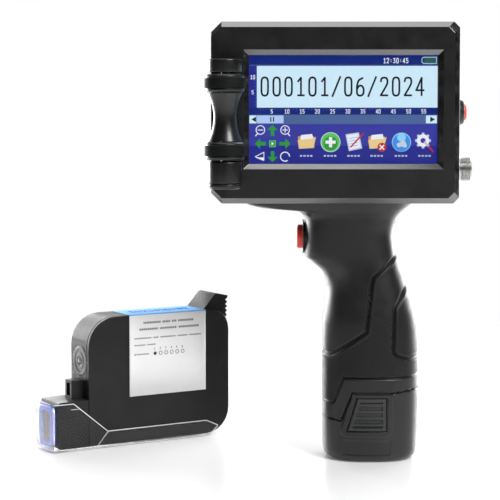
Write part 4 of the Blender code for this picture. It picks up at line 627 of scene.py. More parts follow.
def build_screen_controls():
    """Scroll bar, battery sign, and the keys for the view and for moving the print."""
    top, bottom = RULER_LOW + 1, SCROLL_LOW - 1
    middle = (RULER_LOW + SCROLL_LOW) / 2
    show("scroll_thumb", [box(20.0, top, 88.0, bottom)], THUMB, 3)
    show("scroll_ends", [box(1.0, top, 19.0, bottom), box(451.0, top, 479.0, bottom)], PALE, 3)
    show("scroll_marks", [[(6, middle), (18, middle - 7), (18, middle + 7)],
                          [(474, middle), (462, middle - 7), (462, middle + 7)],
                          box(54, middle - 6, 57, middle + 6), box(61, middle - 6, 64, middle + 6)], INK, 4)
    rim = [(444, 5), (477, 5), (477, 21), (444, 21), (440, 17), (440, 9), (444, 5)]
    show("battery_outline", stroke(rim, 1.8), SILVER, 3)
    show("battery_level", [box(446, 7.2, 475, 18.8)], TEAL, 3)
    left, middle, right = 29, 60, 92
    top, mid, low = 191, 225, 258
    view = []
    for x, side in ((left, -1), (right, 1)):
        view += circle_stroke(x, top - 1, 11, 2.2)
        view += stroke([(x + side * 8, top + 9), (x + side * 12, top + 14)], 2.6)
        view += stroke([(x - 6, top - 1), (x + 6, top - 1)], 2.4)
    view += stroke([(right, top - 7), (right, top + 5)], 2.4)
    view += circle_stroke(right, low, 11.5, 2.4, 60, 355)
    view += stroke([(left - 13, low), (left + 9, low - 11), (left + 9, low + 9), (left - 13, low)], 1.8)
    view += [[(left - 13, low + 2), (left + 9, low + 2), (left + 9, low + 11)]]
    show("view_controls", view, WHITE, 3)
    show("move_arrows", [arrow(left, mid, 180), arrow(right, mid, 0), arrow(middle, top, 270),
                         arrow(middle, low, 90)], GREEN, 3)
    show("play_key", [square(middle, mid, 8.5)], BRIGHT_GREEN, 3)
    show("play_inner", [square(middle, mid, 6)], GREEN, 4)
    show("play_mark", [[(middle - 2.5, mid - 4.5), (middle + 4, mid), (middle - 2.5, mid + 4.5)]], WHITE, 5)


ICON_ROW = 221
FOLDER_X, ADD_X, PAPER_X, DELETE_X, BALL_X, GEAR_X = ICON_PLACES = (147, 208, 268, 327, 389, 449)


def near(x, *offsets):
    """Outline given by its offsets from the middle of the icon at x."""
    return [(x + a, ICON_ROW + b) for a, b in offsets]


def build_file_icons():
    """Open, add, edit and delete."""
    row = ICON_ROW
    places = FOLDER_X, DELETE_X
    show("folder_backs", [near(x, (-22, -14), (-12, -16), (-6, -12), (20, -14), (20, 14), (-20, 16))
                          for x in places], AMBER, 3)
    show("folder_sheets", [near(x, (-15, -18), (14, -21), (18, -4), (-16, -2)) for x in places], WHITE, 4)
    show("folder_fronts", [near(x, (-23, -5), (15, -9), (24, -13), (17, 15), (-19, 17)) for x in places],
         SAND, 5)
    show("add_rim", [disc(ADD_X, row, 25.5)], SILVER, 3)
    show("add_disc", [disc(ADD_X, row, 23.5)], BRIGHT_GREEN, 4)
    show("add_shade", [disc(ADD_X, row + 3, 18)], GREEN, 5)
    show("add_cross", [box(ADD_X - 13, row - 4, ADD_X + 13, row + 4),
                       box(ADD_X - 4, row - 13, ADD_X + 4, row + 13)], WHITE, 6)
    show("paper", [near(PAPER_X, (-22, -20), (12, -25), (21, 16), (-13, 23))], SILVER, 3)
    show("paper_face", [near(PAPER_X, (-18, -17), (9, -21), (17, 13), (-11, 19))], WHITE, 4)
    lines = [near(PAPER_X, (-13, down - 9), (9, down - 13)) for down in (0, 7, 14, 21)]
    show("paper_lines", strokes(lines, 1.4), SKY, 5)
    show("pencil", stroke(near(PAPER_X, (-8, 12), (23, -22)), 4.0), SCREEN_RED, 6)
    show("delete_disc", [disc(DELETE_X + 12, row + 13, 11.5)], SCREEN_RED, 6)
    show("delete_cross", strokes((near(DELETE_X, (7, 8), (17, 18)), near(DELETE_X, (17, 8), (7, 18))), 3.0),
         WHITE, 7)


def build_other_icons():
    """Network and settings, and the blanks for the names under all icons."""
    row = ICON_ROW
    show("ball_rim", [disc(BALL_X, row, 24.5)], LIGHT_SKY, 3)
    show("ball", [disc(BALL_X, row + 1, 22.5)], SKY, 4)
    show("ball_light", [disc(BALL_X, row - 12, 11)], LIGHT_SKY, 5)
    show("ball_cloud", [disc(BALL_X - 6, row + 7, 6), disc(BALL_X + 4, row + 4, 8),
                        disc(BALL_X + 9, row + 9, 5)], SILVER, 6)
    teeth = [[(GEAR_X - 5 + 17 * math.cos(a) + 4.5 * math.cos(a + t),
               row - 4 + 17 * math.sin(a) + 4.5 * math.sin(a + t))
              for t in (0.8, -0.8, math.pi + 0.8, math.pi - 0.8)] for a in np.arange(8) * math.pi / 4]
    show("gear_teeth", teeth, SILVER, 3)
    show("gear", [disc(GEAR_X - 5, row - 4, 16)], WHITE, 4)
    show("gear_hole", [disc(GEAR_X - 5, row - 4, 6.5)], VIOLET, 5)
    show("gear_driver", stroke(near(GEAR_X, (-2, -1), (21, 24)), 4.0), SCREEN_RED, 6)
    show("gear_driver_tip", stroke(near(GEAR_X, (-2, -1), (8, 10)), 2.4), SILVER, 7)
    show("label_blanks", [box(place - 17 + i * 8.7, 254, place - 17 + i * 8.7 + 5.6, 258)
                          for place in ICON_PLACES for i in range(4)], SILVER, 3)


def build_display():
    build_screen_fields()
    build_screen_numbers()
    build_screen_controls()
    build_file_icons()
    build_other_icons()


# ---------------------------------------------------------------- encoder roller

SPOOL_WAIST = 5.6 * MM
SPOOL_CURVE = 1.9
BORE = 2.3 * MM
SPOOL_BORE, SLEEVE_BORE = 2.5 * MM, 3.0 * MM
HUB_BEVEL = 1.0 * MM
TYRE_SEAT = 1.3 * MM
TYRE_GAP = 0.1 * MM
FOOT_HALF = 5.5 * MM
FOOT_START = 4.0 * MM
FOOT_GAP = 0.4 * MM


def half_width(box_of_node):
    return (box_of_node[1].x - box_of_node[0].x) / 2


def build_roller():
    """Turned pieces at the fineness of a lathe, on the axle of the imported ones."""
    axle = centre("roller_axle")
    place = Vector((axle.x, axle.y, 0.0))
    radius = half_width(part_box("roller_top_housing"))
    for label in ("top", "bottom"):
        build_sleeve(label, place, radius)
    low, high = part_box("encoder_cover")
    profile = filleted([(0, low.z), (radius - 1.2 * MM, low.z), (radius, low.z + 1.2 * MM), (radius, high.z),
                        (0, high.z)], 0.5 * MM)
    lathe("encoder_cap", profile, BLACK, "encoder_cover", place, steps=72)
    for label in ("lower", "upper"):
        build_fine_wheel(label, place)
    low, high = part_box("roller_spool")
    end = half_width((low, high))
    profile = [(SPOOL_BORE, low.z)]
    for share in np.linspace(-1, 1, 49):
        profile.append((SPOOL_WAIST + (end - SPOOL_WAIST) * abs(share) ** SPOOL_CURVE,
                        (low.z + high.z) / 2 + share * (high.z - low.z) / 2))
    profile += [(SPOOL_BORE, high.z), (SPOOL_BORE, low.z)]
    lathe("fine_spool", profile, GLOSS_BLACK, "roller_spool", place, angle=50)


def build_sleeve(label, place, radius):
    """Turned outer sleeve over a bearing housing, and the block that carries it on the head's front."""
    node = f"roller_{label}_housing"
    low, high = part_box(node)
    profile = filleted([(SLEEVE_BORE, low.z), (radius, low.z), (radius, high.z), (0.0, high.z)], 0.7 * MM)
    lathe(f"{label}_cap", [(SLEEVE_BORE, low.z + 0.2 * MM)] + profile, BLACK, node, place)
    outline = box(place.x - FOOT_HALF, place.y + FOOT_START, place.x + FOOT_HALF, high.y)
    points, faces = plates([outline], low.z + FOOT_GAP, high.z - FOOT_GAP, lambda x, y, z: (x, y, z))
    block = add_piece(f"{label}_cap_foot", mesh_of(f"{label}_cap_foot", points, faces), BLACK, node)
    round_edges(block, 0.6 * MM, 3, 30)


def build_fine_wheel(label, place):
    """Hub with a seat between two rims, and the tyre in it."""
    node = f"{label}_wheel_hub"
    hub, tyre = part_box(node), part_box(f"{label}_tyre")
    radius = half_width(hub)
    seat = radius - TYRE_SEAT
    low, high = hub[0].z, hub[1].z
    start, end = tyre[0].z - TYRE_GAP, tyre[1].z + TYRE_GAP
    profile = filleted([(BORE, low), (radius - HUB_BEVEL, low), (radius, low + HUB_BEVEL), (radius, start),
                        (seat, start), (seat, end), (radius, end), (radius, high - HUB_BEVEL),
                        (radius - HUB_BEVEL, high), (BORE, high)], 0.3 * MM)
    lathe(f"{label}_fine_hub", profile + [(BORE, low)], GLOSS_BLACK, node, place)
    inner, outer = seat + TYRE_GAP, half_width(tyre)
    low, high = tyre[0].z, tyre[1].z
    profile = filleted([(inner, low), (outer, low), (outer, high), (inner, high)], 0.45 * MM)
    lathe(f"{label}_fine_tyre", profile + [(inner, low)], TYRE, f"{label}_tyre", place, steps=120)


# ---------------------------------------------------------------- side fittings

BOSS_FACE = 34.8 * MM
SEAT_GAP = 0.2 * MM
BUTTON_PLAY = 0.25 * MM
BUTTON_DISH = 0.4 * MM
BUTTON_EDGE = 0.9 * MM
BUTTON_HEAD = 2.2 * MM
STEM_RADIUS = 1.3 * MM
THREAD_CRESTS = 6
THREAD_DEPTH = 0.28 * MM


def build_fittings():
    build_side_button("power_button_bezel", "power", 1, HEAD_RIGHT)
    build_side_button("trigger_bezel", "trigger", -1, BOSS_FACE)
    build_fine_socket()


def along_side(node, side):
    """Lowest and highest reach of a node along +X or -X, and half of its height."""
    low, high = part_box(node)
    ends = sorted((side * low.x, side * high.x))
    return ends[0], ends[1], (high.z - low.z) / 2


def build_side_button(bezel_node, label, side, wall):
    """Round push button with a rolled bezel; heights are measured along the axis, outwards."""
    middle = centre(bezel_node)
    place = Vector((0.0, middle.y, middle.z))
    bottom, top, outer = along_side(bezel_node, side)
    base, face, button = along_side(f"{label}_button", side)
    bore = button + BUTTON_PLAY
    body = outer - 1.6 * MM
    seat = wall + SEAT_GAP
    profile = filleted([(bore, bottom), (body, bottom), (body, seat), (outer, seat), (outer, seat + 0.8 * MM),
                        (bore + 1.2 * MM, top), (bore + 0.3 * MM, top), (bore, top - 0.3 * MM),
                        (bore, bottom)], 0.4 * MM)
    lathe(f"{label}_fine_bezel", profile, GLOSS_BLACK, bezel_node, place, (side, 0, 0))
    head = base + BUTTON_HEAD
    profile = filleted([(0.0, face - BUTTON_DISH), (button * 0.55, face - BUTTON_DISH * 0.8),
                        (button - BUTTON_EDGE, face), (button, face - BUTTON_EDGE), (button, head),
                        (STEM_RADIUS, head), (STEM_RADIUS, base), (0.0, base)], 0.6 * MM)
    lathe(f"{label}_fine_button", profile, RED, f"{label}_button", place, (side, 0, 0), 80)


def build_fine_socket():
    """Threaded metal ring with a flange on the head's right side."""
    low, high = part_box("socket_shell")
    middle = (low + high) / 2
    flange = (high.z - low.z) / 2
    ring = flange - 1.0 * MM
    bore = ring - 1.0 * MM
    neck = ring - 0.4 * MM
    face, top = HEAD_RIGHT, high.x
    points = [(bore, low.x), (bore, top - 0.4 * MM), (bore + 0.4 * MM, top), (neck, top),
              (ring, top - 0.4 * MM)]
    thread_top, thread_end = top - 0.6 * MM, face + 2.6 * MM
    pitch = (thread_top - thread_end) / THREAD_CRESTS
    for number in range(THREAD_CRESTS):
        crest = thread_top - number * pitch
        points += [(ring, crest - 0.25 * pitch), (ring - THREAD_DEPTH, crest - 0.6 * pitch),
                   (ring, crest - 0.95 * pitch)]
    points += [(neck, thread_end - 0.1 * MM), (neck, face + 1.9 * MM), (flange - 0.3 * MM, face + 1.9 * MM),
               (flange, face + 1.6 * MM), (flange, face + SEAT_GAP), (ring, face + SEAT_GAP), (ring, low.x),
               (bore, low.x)]
    place = Vector((0.0, middle.y, middle.z))
    lathe("fine_socket", points, NICKEL, "socket_shell", place, (1, 0, 0), angle=25.0)


# ---------------------------------------------------------------- handle

# Outline of the handle from the foot up: height, left edge, right edge, half of the thickness, and
# how much of the left reach is the boss round the trigger.
GRIP_STATIONS = np.array((
    (0.0000, -0.0210, 0.0203, 0.0198, 0.0), (0.0008, -0.0228, 0.0221, 0.0215, 0.0),
    (0.0030, -0.0243, 0.0236, 0.0230, 0.0), (0.0090, -0.0250, 0.0243, 0.0236, 0.0),
    (0.0300, -0.0252, 0.0249, 0.0238, 0.0), (0.0500, -0.0252, 0.0248, 0.0237, 0.0),
    (0.0690, -0.0250, 0.0237, 0.0228, 0.0), (0.0800, -0.0240, 0.0213, 0.0216, 0.0),
    (0.0900, -0.0232, 0.0181, 0.0203, 0.0), (0.0965, -0.0250, 0.0160, 0.0194, 0.0022),
    (0.1020, -0.0310, 0.0143, 0.0189, 0.0082), (0.1060, -0.0346, 0.0132, 0.0187, 0.0116),
    (0.1170, -0.0348, 0.0118, 0.0187, 0.0113), (0.1240, -0.0346, 0.0132, 0.0189, 0.0104),
    (0.1266, -0.0360, 0.0147, 0.0191, 0.0110), (0.1284, -0.0400, 0.0163, 0.0193, 0.0142),
    (0.1298, -0.0560, 0.0180, 0.0196, 0.0294), (0.1315, -0.0640, 0.0200, 0.0200, 0.0366),
    (0.1332, -0.0660, 0.0230, 0.0204, 0.0378)))
GRIP_TOP = GRIP_STATIONS[-1][0]
GRIP_SQUARENESS = 2.5
BOSS_START, BOSS_FULL = 0.0, 0.6
# Lines that part the rubber grip, the palm pad, the collar and the battery, in X and Z.
GRIP_LINE = ((0.040, 0.1240), (0.0128, 0.1058), (-0.0002, 0.0945), (-0.0012, 0.0890), (-0.0037, 0.0672),
             (-0.0212, 0.0552), (-0.050, 0.0552))
PAD_LINE = ((0.040, 0.1090), (0.0178, 0.0900), (0.0108, 0.0790), (0.0100, 0.0570), (0.0122, 0.0546),
            (0.0180, 0.0528), (0.040, 0.0528))
COLLAR_LINE = ((-0.050, 0.0302), (-0.0203, 0.0300), (-0.0152, 0.0436), (0.0135, 0.0436), (0.040, 0.0450))
BATTERY_LINE = ((-0.050, 0.0225), (-0.0162, 0.0215), (-0.0105, 0.0358), (0.0097, 0.0358), (0.040, 0.0385))
RUBBER_OUTLINE = GRIP_LINE + COLLAR_LINE
BATTERY_OUTLINE = ((-0.050, -0.010), (0.040, -0.010)) + BATTERY_LINE[::-1]
BUTTON_OUTLINE = ((-0.0135, 0.0160), (0.0070, 0.0160), (0.0070, 0.0335), (-0.0083, 0.0335))
RATING_PANEL = ((-0.01575, 0.0035), (0.00925, 0.0035), (0.00925, 0.0115), (-0.01575, 0.0115))
# Width and depth of the groove along each parting line, and along the seam of the two halves.
GROOVES = ((GRIP_LINE, 2.0 * MM, 1.1 * MM), (PAD_LINE, 2.1 * MM, 1.2 * MM), (COLLAR_LINE, 1.7 * MM, 1.0 * MM),
           (BATTERY_LINE, 1.3 * MM, 1.2 * MM))
SEAM_WIDTH, SEAM_DEPTH = 0.9 * MM, 0.28 * MM
SEAM_ROWS = (0.0, 0.12 * MM, 0.30 * MM, 0.55 * MM)
SEAM_REACH = 22.5 * MM
GROOVE_FLOOR = 0.20
# Ribs beside two of the lines: the line, the outline they lie in, and their height.
RIB_PLACE, RIB_WIDTH = 1.7 * MM, 1.6 * MM
RIBS = ((PAD_LINE, PAD_LINE, 0.35 * MM), (GRIP_LINE, RUBBER_OUTLINE, 0.30 * MM))
FRAME_WIDTH, FRAME_EDGE, FRAME_RISE = 2.4 * MM, 0.6 * MM, 0.6 * MM
PANEL_EDGE, PANEL_DEPTH = 0.5 * MM, 0.3 * MM
BUTTON_GAP = 0.5 * MM
TRIGGER_OPENING = 8.3 * MM
SHELL_WALL = 1.2 * MM
# The cores stop this far inside the fine skin; only their skin, beyond CORE_SHARE, moves.
CORE_SINK = 1.6 * MM
CORE_FLANK = 0.72
CORE_SHARE = 0.955
CORE_FOOT, CORE_LIFT = 0.5 * MM, 0.8 * MM
AROUND = 448
LEVEL_STEP = 0.36 * MM
SNAP_REACH = 0.18 * MM
SNAP_TURN = 0.0005
SNAP_SLOPE = 0.008


def section_curve():
    """Fine Catmull-Rom table through the stations."""
    rows = GRIP_STATIONS
    padded = np.vstack([2 * rows[0] - rows[1], rows, 2 * rows[-1] - rows[-2]])
    result = []
    for i in range(1, len(padded) - 2):
        a, b, c, d = padded[i - 1:i + 3]
        for t in np.linspace(0, 1, 12, endpoint=False):
            result.append(0.5 * (2 * b + (c - a) * t + (2 * a - 5 * b + 4 * c - d) * t * t
                                 + (3 * b - a - 3 * c + d) * t ** 3))
    result.append(rows[-1])
    return np.array(result)


SECTIONS = section_curve()


def section_at(z):
    """Left edge, right edge, half thickness and boss at each height."""
    return [np.interp(z, SECTIONS[:, 0], SECTIONS[:, i]) for i in (1, 2, 3, 4)]


def grip_points(angle, z, inset):
    left, right, half, boss = section_at(z)
    left = left + boss
    c, s = np.cos(angle), np.sin(angle)
    power = 2 / GRIP_SQUARENESS
    x = (left + right) / 2 + ((right - left) / 2 - inset) * np.sign(c) * np.abs(c) ** power
    x = x - boss * step(-c, BOSS_START, BOSS_FULL)
    y = (half - inset) * np.sign(s) * np.abs(s) ** power
    return np.stack([x, y, z * np.ones_like(x)], axis=-1)


def face_depth(x, z):
    """Distance of the handle's surface from its middle plane."""
    left, right, half, _ = section_at(z)
    share = np.clip(np.abs(x - (left + right) / 2) / ((right - left) / 2), 0, 1)
    return half * (1 - share ** GRIP_SQUARENESS) ** (1 / GRIP_SQUARENESS)


def toward(points, line):
    """Shortest step from each point to a polyline."""
    best = np.full(points.shape, 1.0)
    for start, end in zip(np.array(line[:-1]), np.array(line[1:])):
        along = end - start
        share = np.clip(((points - start) @ along) / (along @ along), 0, 1)
        move = start + share[..., None] * along - points
        closer = np.linalg.norm(move, axis=-1) < np.linalg.norm(best, axis=-1)
        best[closer] = move[closer]
    return best


def away(points, line, closed=False):
    """Distance of each point from a polyline."""
    return np.linalg.norm(toward(points, line + line[:1] if closed else line), axis=-1)


def snapped(angle, height):
    """Moves the grid's points nearest to each parting line onto it, so that the pieces part cleanly."""
    for line, _, _ in GROOVES:
        plain = grip_points(angle, height, 0.0)
        slope = (grip_points(angle + SNAP_TURN, height, 0.0)[..., 0] - plain[..., 0]) / SNAP_TURN
        move = toward(plain[..., [0, 2]], line)
        near_line = np.linalg.norm(move, axis=-1) < SNAP_REACH
        steep = near_line & (np.abs(slope) > SNAP_SLOPE)
        angle = angle + np.where(steep, move[..., 0] / np.where(steep, slope, 1.0), 0.0)
        height = height + np.where(near_line, move[..., 1], 0.0)
    return angle, height


def within(points, outline):
    """True for each point inside a closed outline."""
    result = np.zeros(points.shape[:-1], bool)
    x, z = points[..., 0], points[..., 1]
    for (x1, z1), (x2, z2) in zip(outline, outline[1:] + outline[:1]):
        if z1 != z2:
            result ^= ((z1 > z) != (z2 > z)) & (x < (x2 - x1) * (z - z1) / (z2 - z1) + x1)
    return result


def step(value, start, end):
    """Smooth rise from 0 to 1."""
    share = np.clip((value - start) / (end - start), 0, 1)
    return share * share * (3 - 2 * share)


def groove(distance, width, depth):
    """Rounded channel, with a narrow flat floor."""
    return depth * (1 - step(distance, GROOVE_FLOOR * width, width / 2))


def surface_inset(points):
    """How far the moulded surface lies inside the plain outline, for points in X and Z."""
    inset = 0.0
    for line, width, depth in GROOVES:
        inset = np.maximum(inset, groove(away(points, line), width, depth))
    for line, outline, height in RIBS:
        beside = np.abs(away(points, line) - RIB_PLACE)
        inset = inset - height * (1 - step(beside, 0.0, RIB_WIDTH / 2)) * within(points, outline)
    button = away(points, BUTTON_OUTLINE, True)
    rise = FRAME_RISE * (1 - step(button, FRAME_WIDTH, FRAME_WIDTH + FRAME_EDGE))
    dip = PANEL_DEPTH * step(away(points, RATING_PANEL, True), 0.0, PANEL_EDGE)
    return inset - rise * ~within(points, BUTTON_OUTLINE) + dip * within(points, RATING_PANEL)


def handle_grid():
    """The handle's plain and moulded surfaces, as one grid of points from the foot up."""
    z = np.linspace(0.0, GRIP_TOP, int(GRIP_TOP / LEVEL_STEP))
    seams = []
    for reach in SEAM_ROWS:
        turn = math.asin((reach / SEAM_REACH) ** (GRIP_SQUARENESS / 2))
        seams += [turn, -turn, math.pi - turn, math.pi + turn]
    even = np.arange(AROUND) * 2 * math.pi / AROUND
    angles = np.unique(np.round(np.mod(np.concatenate([even, seams]), 2 * math.pi), 7))
    angle, height = snapped(*np.meshgrid(angles, z))
    plain = grip_points(angle, height, 0.0)
    flat = plain[..., [0, 2]]
    seam = groove(np.abs(plain[..., 1]), SEAM_WIDTH, SEAM_DEPTH)
    no_seam = within(flat, RUBBER_OUTLINE) | (height < 0.4 * MM)
    inset = surface_inset(flat) + np.where(no_seam, 0.0, seam)
    return plain, grip_points(angle, height, inset)


def pick_faces(name, points, chosen):
    """Mesh of the chosen cells of a grid that closes round on itself."""
    index = np.arange(points.shape[0] * points.shape[1]).reshape(points.shape[:2])
    after = np.roll(index, -1, axis=1)
    cells = np.stack([index[:-1], after[:-1], after[1:], index[1:]], axis=-1)[chosen]
    used, faces = np.unique(cells, return_inverse=True)
    return plain_mesh(name, points.reshape(-1, 3)[used], faces.reshape(-1, 4).tolist())


def sunk_core(node, material):
    """The node's own body with its outer skin moved in, under the fine surface.

    The flanks keep their X, so that the pockets of the latch buttons stay where they are.
    """
    mesh = frame["nodes"][node].data.copy()
    points = np.zeros(len(mesh.vertices) * 3, np.float32)
    mesh.vertices.foreach_get("co", points)
    points = points.reshape(-1, 3).astype(float)
    left, right, half, _ = section_at(np.clip(points[:, 2], 0.0, GRIP_TOP))
    reach = (right - left) / 2
    sideways = points[:, 0] - (left + right) / 2
    share = (np.abs(sideways) / reach) ** GRIP_SQUARENESS + (np.abs(points[:, 1]) / half) ** GRIP_SQUARENESS
    outer = share > CORE_SHARE
    edge = outer & (np.abs(sideways) > CORE_FLANK * reach)
    points[edge, 0] -= (sideways * CORE_SINK / reach)[edge]
    points[outer, 1] *= 1 - CORE_SINK / half[outer]
    points[points[:, 2] < CORE_FOOT, 2] += CORE_LIFT
    mesh.vertices.foreach_set("co", points.astype(np.float32).ravel())
    mesh.update()
    add_piece(f"{node}_core", mesh, material, node, (node,))


def build_handle():
    plain, points = handle_grid()
    middle = (plain[:-1] + plain[1:]) / 2
    middle = (middle + np.roll(middle, -1, axis=1)) / 2
    flat = middle[..., [0, 2]]
    in_pad = within(flat, PAD_LINE)
    in_rubber = within(flat, RUBBER_OUTLINE) & ~in_pad
    in_battery = within(flat, BATTERY_OUTLINE)
    from_trigger = np.hypot(middle[..., 1], middle[..., 2] - centre("trigger_bezel").z)
    open_here = (from_trigger < TRIGGER_OPENING) & (middle[..., 0] < -0.02)
    at_button = within(flat, BUTTON_OUTLINE) | (away(flat, BUTTON_OUTLINE, True) < BUTTON_GAP / 2)
    halves = ~(in_pad | in_rubber | in_battery | open_here)
    front = middle[..., 1] < 0
    for name, chosen, material, node, hidden in (
            ("grip_front_skin", halves & front, GRIP_BLACK, "grip_front_half", ()),
            ("grip_back_skin", halves & ~front, GRIP_BLACK, "grip_back_half", ()),
            ("rubber_grip_skin", in_rubber, RUBBER, "rubber_grip", ("rubber_grip",)),
            ("palm_pad_skin", in_pad, RUBBER, "palm_pad", ("palm_pad",)),
            ("battery_skin", in_battery & ~at_button, BATTERY_BLACK, "battery_case", ())):
        skin = add_piece(name, pick_faces(name, points, chosen), material, node, hidden, 50.0)
        thicken(skin, SHELL_WALL)
    sunk_core("grip_front_half", GRIP_BLACK)
    sunk_core("grip_back_half", GRIP_BLACK)
    sunk_core("battery_case", BATTERY_BLACK)
    build_foot()
    build_latch_pad("front", -1)
    build_latch_pad("back", 1)


# Height and inset of each ring of the underside, from the rim inwards.
FOOT_RINGS = ((0.0, 0.0), (0.0, 0.6 * MM), (0.4 * MM, 1.6 * MM), (0.9 * MM, 2.4 * MM), (1.0 * MM, 10.0 * MM))
FOOT_STEPS = 160


def build_foot():
    """Rounded underside of the battery with a low standing rim."""
    angles = np.linspace(0, 2 * math.pi, FOOT_STEPS, endpoint=False)
    rings = []
    for z, inset in FOOT_RINGS:
        ring = grip_points(angles, np.zeros_like(angles), inset)
        ring[:, 2] = z
        rings.append(ring)
    faces = grid_faces(len(rings), FOOT_STEPS, False, True)
    faces.append(tuple(range((len(rings) - 1) * FOOT_STEPS, len(rings) * FOOT_STEPS)))
    mesh = mesh_of("battery_foot", np.concatenate(rings), faces)
    thicken(add_piece("battery_foot", mesh, BATTERY_BLACK, "battery_case", (), 40.0), 0.4 * MM)


LATCH_BARS = 4
LATCH_GROOVE = 1.2 * MM
LATCH_RISE, LATCH_EDGE, LATCH_DEPTH = 0.7 * MM, 0.8 * MM, 0.9 * MM
LATCH_BORDER_X, LATCH_BORDER_Z = 2.2 * MM, 2.0 * MM
LATCH_GRID = (120, 90)
LATCH_WALL = 2.2 * MM


def build_latch_pad(label, side):
    """Ribbed press button: bars across a sunk field inside a plain border."""
    (left, bottom), (right, _), (_, top), (left_top, _) = BUTTON_OUTLINE
    rows, columns = LATCH_GRID
    across, up = np.meshgrid(np.linspace(0, 1, columns), np.linspace(0, 1, rows))
    z = bottom + (top - bottom) * up
    start = left + (left_top - left) * up
    x = start + (right - start) * across
    from_side = np.minimum(x - start, right - x)
    from_end = np.minimum(z - bottom, top - z)
    border = 1 - step(np.minimum(from_side, from_end), 0.0, LATCH_EDGE)
    field = step(np.minimum(from_side - LATCH_BORDER_X, from_end - LATCH_BORDER_Z), 0.0, 0.4 * MM)
    pitch = (top - bottom - 2 * LATCH_BORDER_Z) / LATCH_BARS
    phase = np.abs(np.mod((z - bottom - LATCH_BORDER_Z) / pitch, 1.0) - 0.5) * pitch
    bar = step(phase, pitch / 2 - LATCH_GROOVE, pitch / 2 - LATCH_GROOVE / 2)
    y = side * (face_depth(x, z) + LATCH_RISE - LATCH_DEPTH * (border + field * bar))
    faces = [face[::-side] for face in grid_faces(rows, columns)]
    node = f"{label}_latch_button"
    mesh = plain_mesh(f"{label}_latch_pad", np.stack([x, y, z], axis=-1).reshape(-1, 3), faces)
    thicken(add_piece(mesh.name, mesh, BUTTON_GREY, node, (node,), 40.0), LATCH_WALL)


# ---------------------------------------------------------------- ink cartridge

# The cartridge has its own frame: X from the nozzles, Y through its thickness, Z up.
CARTRIDGE_PLACE = Matrix.Translation((-0.1640, 0.0020, 0.0)) @ Matrix.Rotation(math.radians(31.0), 4, "Z")
TANK_TOP = 70.0 * MM
TANK_START = 18.0 * MM
TANK_THICK = 22.0 * MM
RIB_HEIGHTS = (22.5 * MM, 24.5 * MM)
LABEL_START, LABEL_END = 42.0 * MM, 89.0 * MM
LABEL_LOW = 26.0 * MM
LABEL_SKIN = 0.3 * MM
LABEL_BEND = 0.5 * MM
LABEL_WALL = 0.12 * MM
PRINT_SKIN = 0.18 * MM
# Rules in place of the label's words: height, start, end, half of the thickness, letters in each word.
RULES = ((0.0655, 0.0505, 0.0815, 0.00055, (11, 5, 3, 10)), (0.0620, 0.0480, 0.0850, 0.00055, (9, 8, 10)),
         (0.0572, 0.0450, 0.0862, 0.00036, (10, 3, 9, 6, 7)), (0.0535, 0.0450, 0.0582, 0.00032, (5, 4)),
         (0.0485, 0.0450, 0.0540, 0.00032, (6,)))
RING_START, RING_PITCH, RING_RADIUS, RING_HEIGHT = 15.5 * MM, 3.4 * MM, 0.95 * MM, 48.5 * MM
CAP_SIDE_HIGH, CAP_SIDE_END = 25.5 * MM, 8.5 * MM
CAP_TRAY_START, CAP_TRAY_HIGH = 28.5 * MM, 9.0 * MM
CAP_BEAD = 0.4 * MM
RING_EDGE = 0.3 * MM
SEAL_WIDTH = 2.4 * MM
NOZZLE_ROW, NOZZLE_MARGIN = 0.6 * MM, 3.0 * MM


def build_cartridge():
    refined("cartridge_body", TANK, 0.55 * MM, 3, 24.0)
    refined("cartridge_lid", TANK, 0.45 * MM, 3, 24.0)
    build_tank_marks()
    build_fine_label()
    build_fine_plug()
    build_fine_cap()
    build_fine_seal()
    build_fine_nozzles()


def placed(points):
    return [CARTRIDGE_PLACE @ Vector(p) for p in points]


def local_box(node):
    """Box of a cartridge node in the cartridge's own frame."""
    back = CARTRIDGE_PLACE.inverted()
    corners = [back @ vertex.co for vertex in frame["nodes"][node].data.vertices]
    return Vector(map(min, *corners)), Vector(map(max, *corners))


def slab(name, outlines, low, high, material, node, edge=0.0, across=False, replaces=()):
    """Plates standing along the cartridge, or across it, rounded at their edges, as one piece."""
    points, faces = plates(outlines, low, high,
                           lambda a, b, depth: (depth, a, b) if across else (a, depth, b))
    thing = add_piece(name, mesh_of(name, placed(points), faces, 0.0), material, node, replaces)
    if edge:
        round_edges(thing, edge, 2, 35)


def frame_ring(name, outer, inner, low, high, material, node, replaces):
    """Flat ring between two outlines across the cartridge, with rounded edges."""
    corners = (outer, low), (outer, high), (inner, high), (inner, low)
    points = [(x, y, z) for ring, x in corners for y, z in ring]
    mesh = mesh_of(name, placed(points), grid_faces(4, len(outer), True, True))
    round_edges(add_piece(name, mesh, material, node, replaces), RING_EDGE, 3, 50)


def round_rectangle(left, right, low, high, radius, steps=6):
    points = []
    for x, z, start in ((right - radius, high - radius, 0), (left + radius, high - radius, 90),
                        (left + radius, low + radius, 180), (right - radius, low + radius, 270)):
        for i in range(steps + 1):
            turn = math.radians(start + 90 * i / steps)
            points.append((x + radius * math.cos(turn), z + radius * math.sin(turn)))
    return points


def build_tank_marks():
    """Two small moulded ribs on the snout and the foot under the tank's far corner."""
    for number, z in enumerate(RIB_HEIGHTS):
        slab(f"snout_rib_{number}", [box(0.5 * MM, z, 12.5 * MM, z + 0.6 * MM)], TANK_THICK - 0.4 * MM,
             TANK_THICK - 0.05 * MM, TANK, "cartridge_body", 0.1 * MM)
    foot = [(0.0955, 0.0062), (0.1012, 0.0102), (0.1030, 0.0075), (0.0985, 0.0042)]
    slab("tank_foot", [foot], 6.5 * MM, 15.5 * MM, TANK, "cartridge_body", 0.4 * MM)


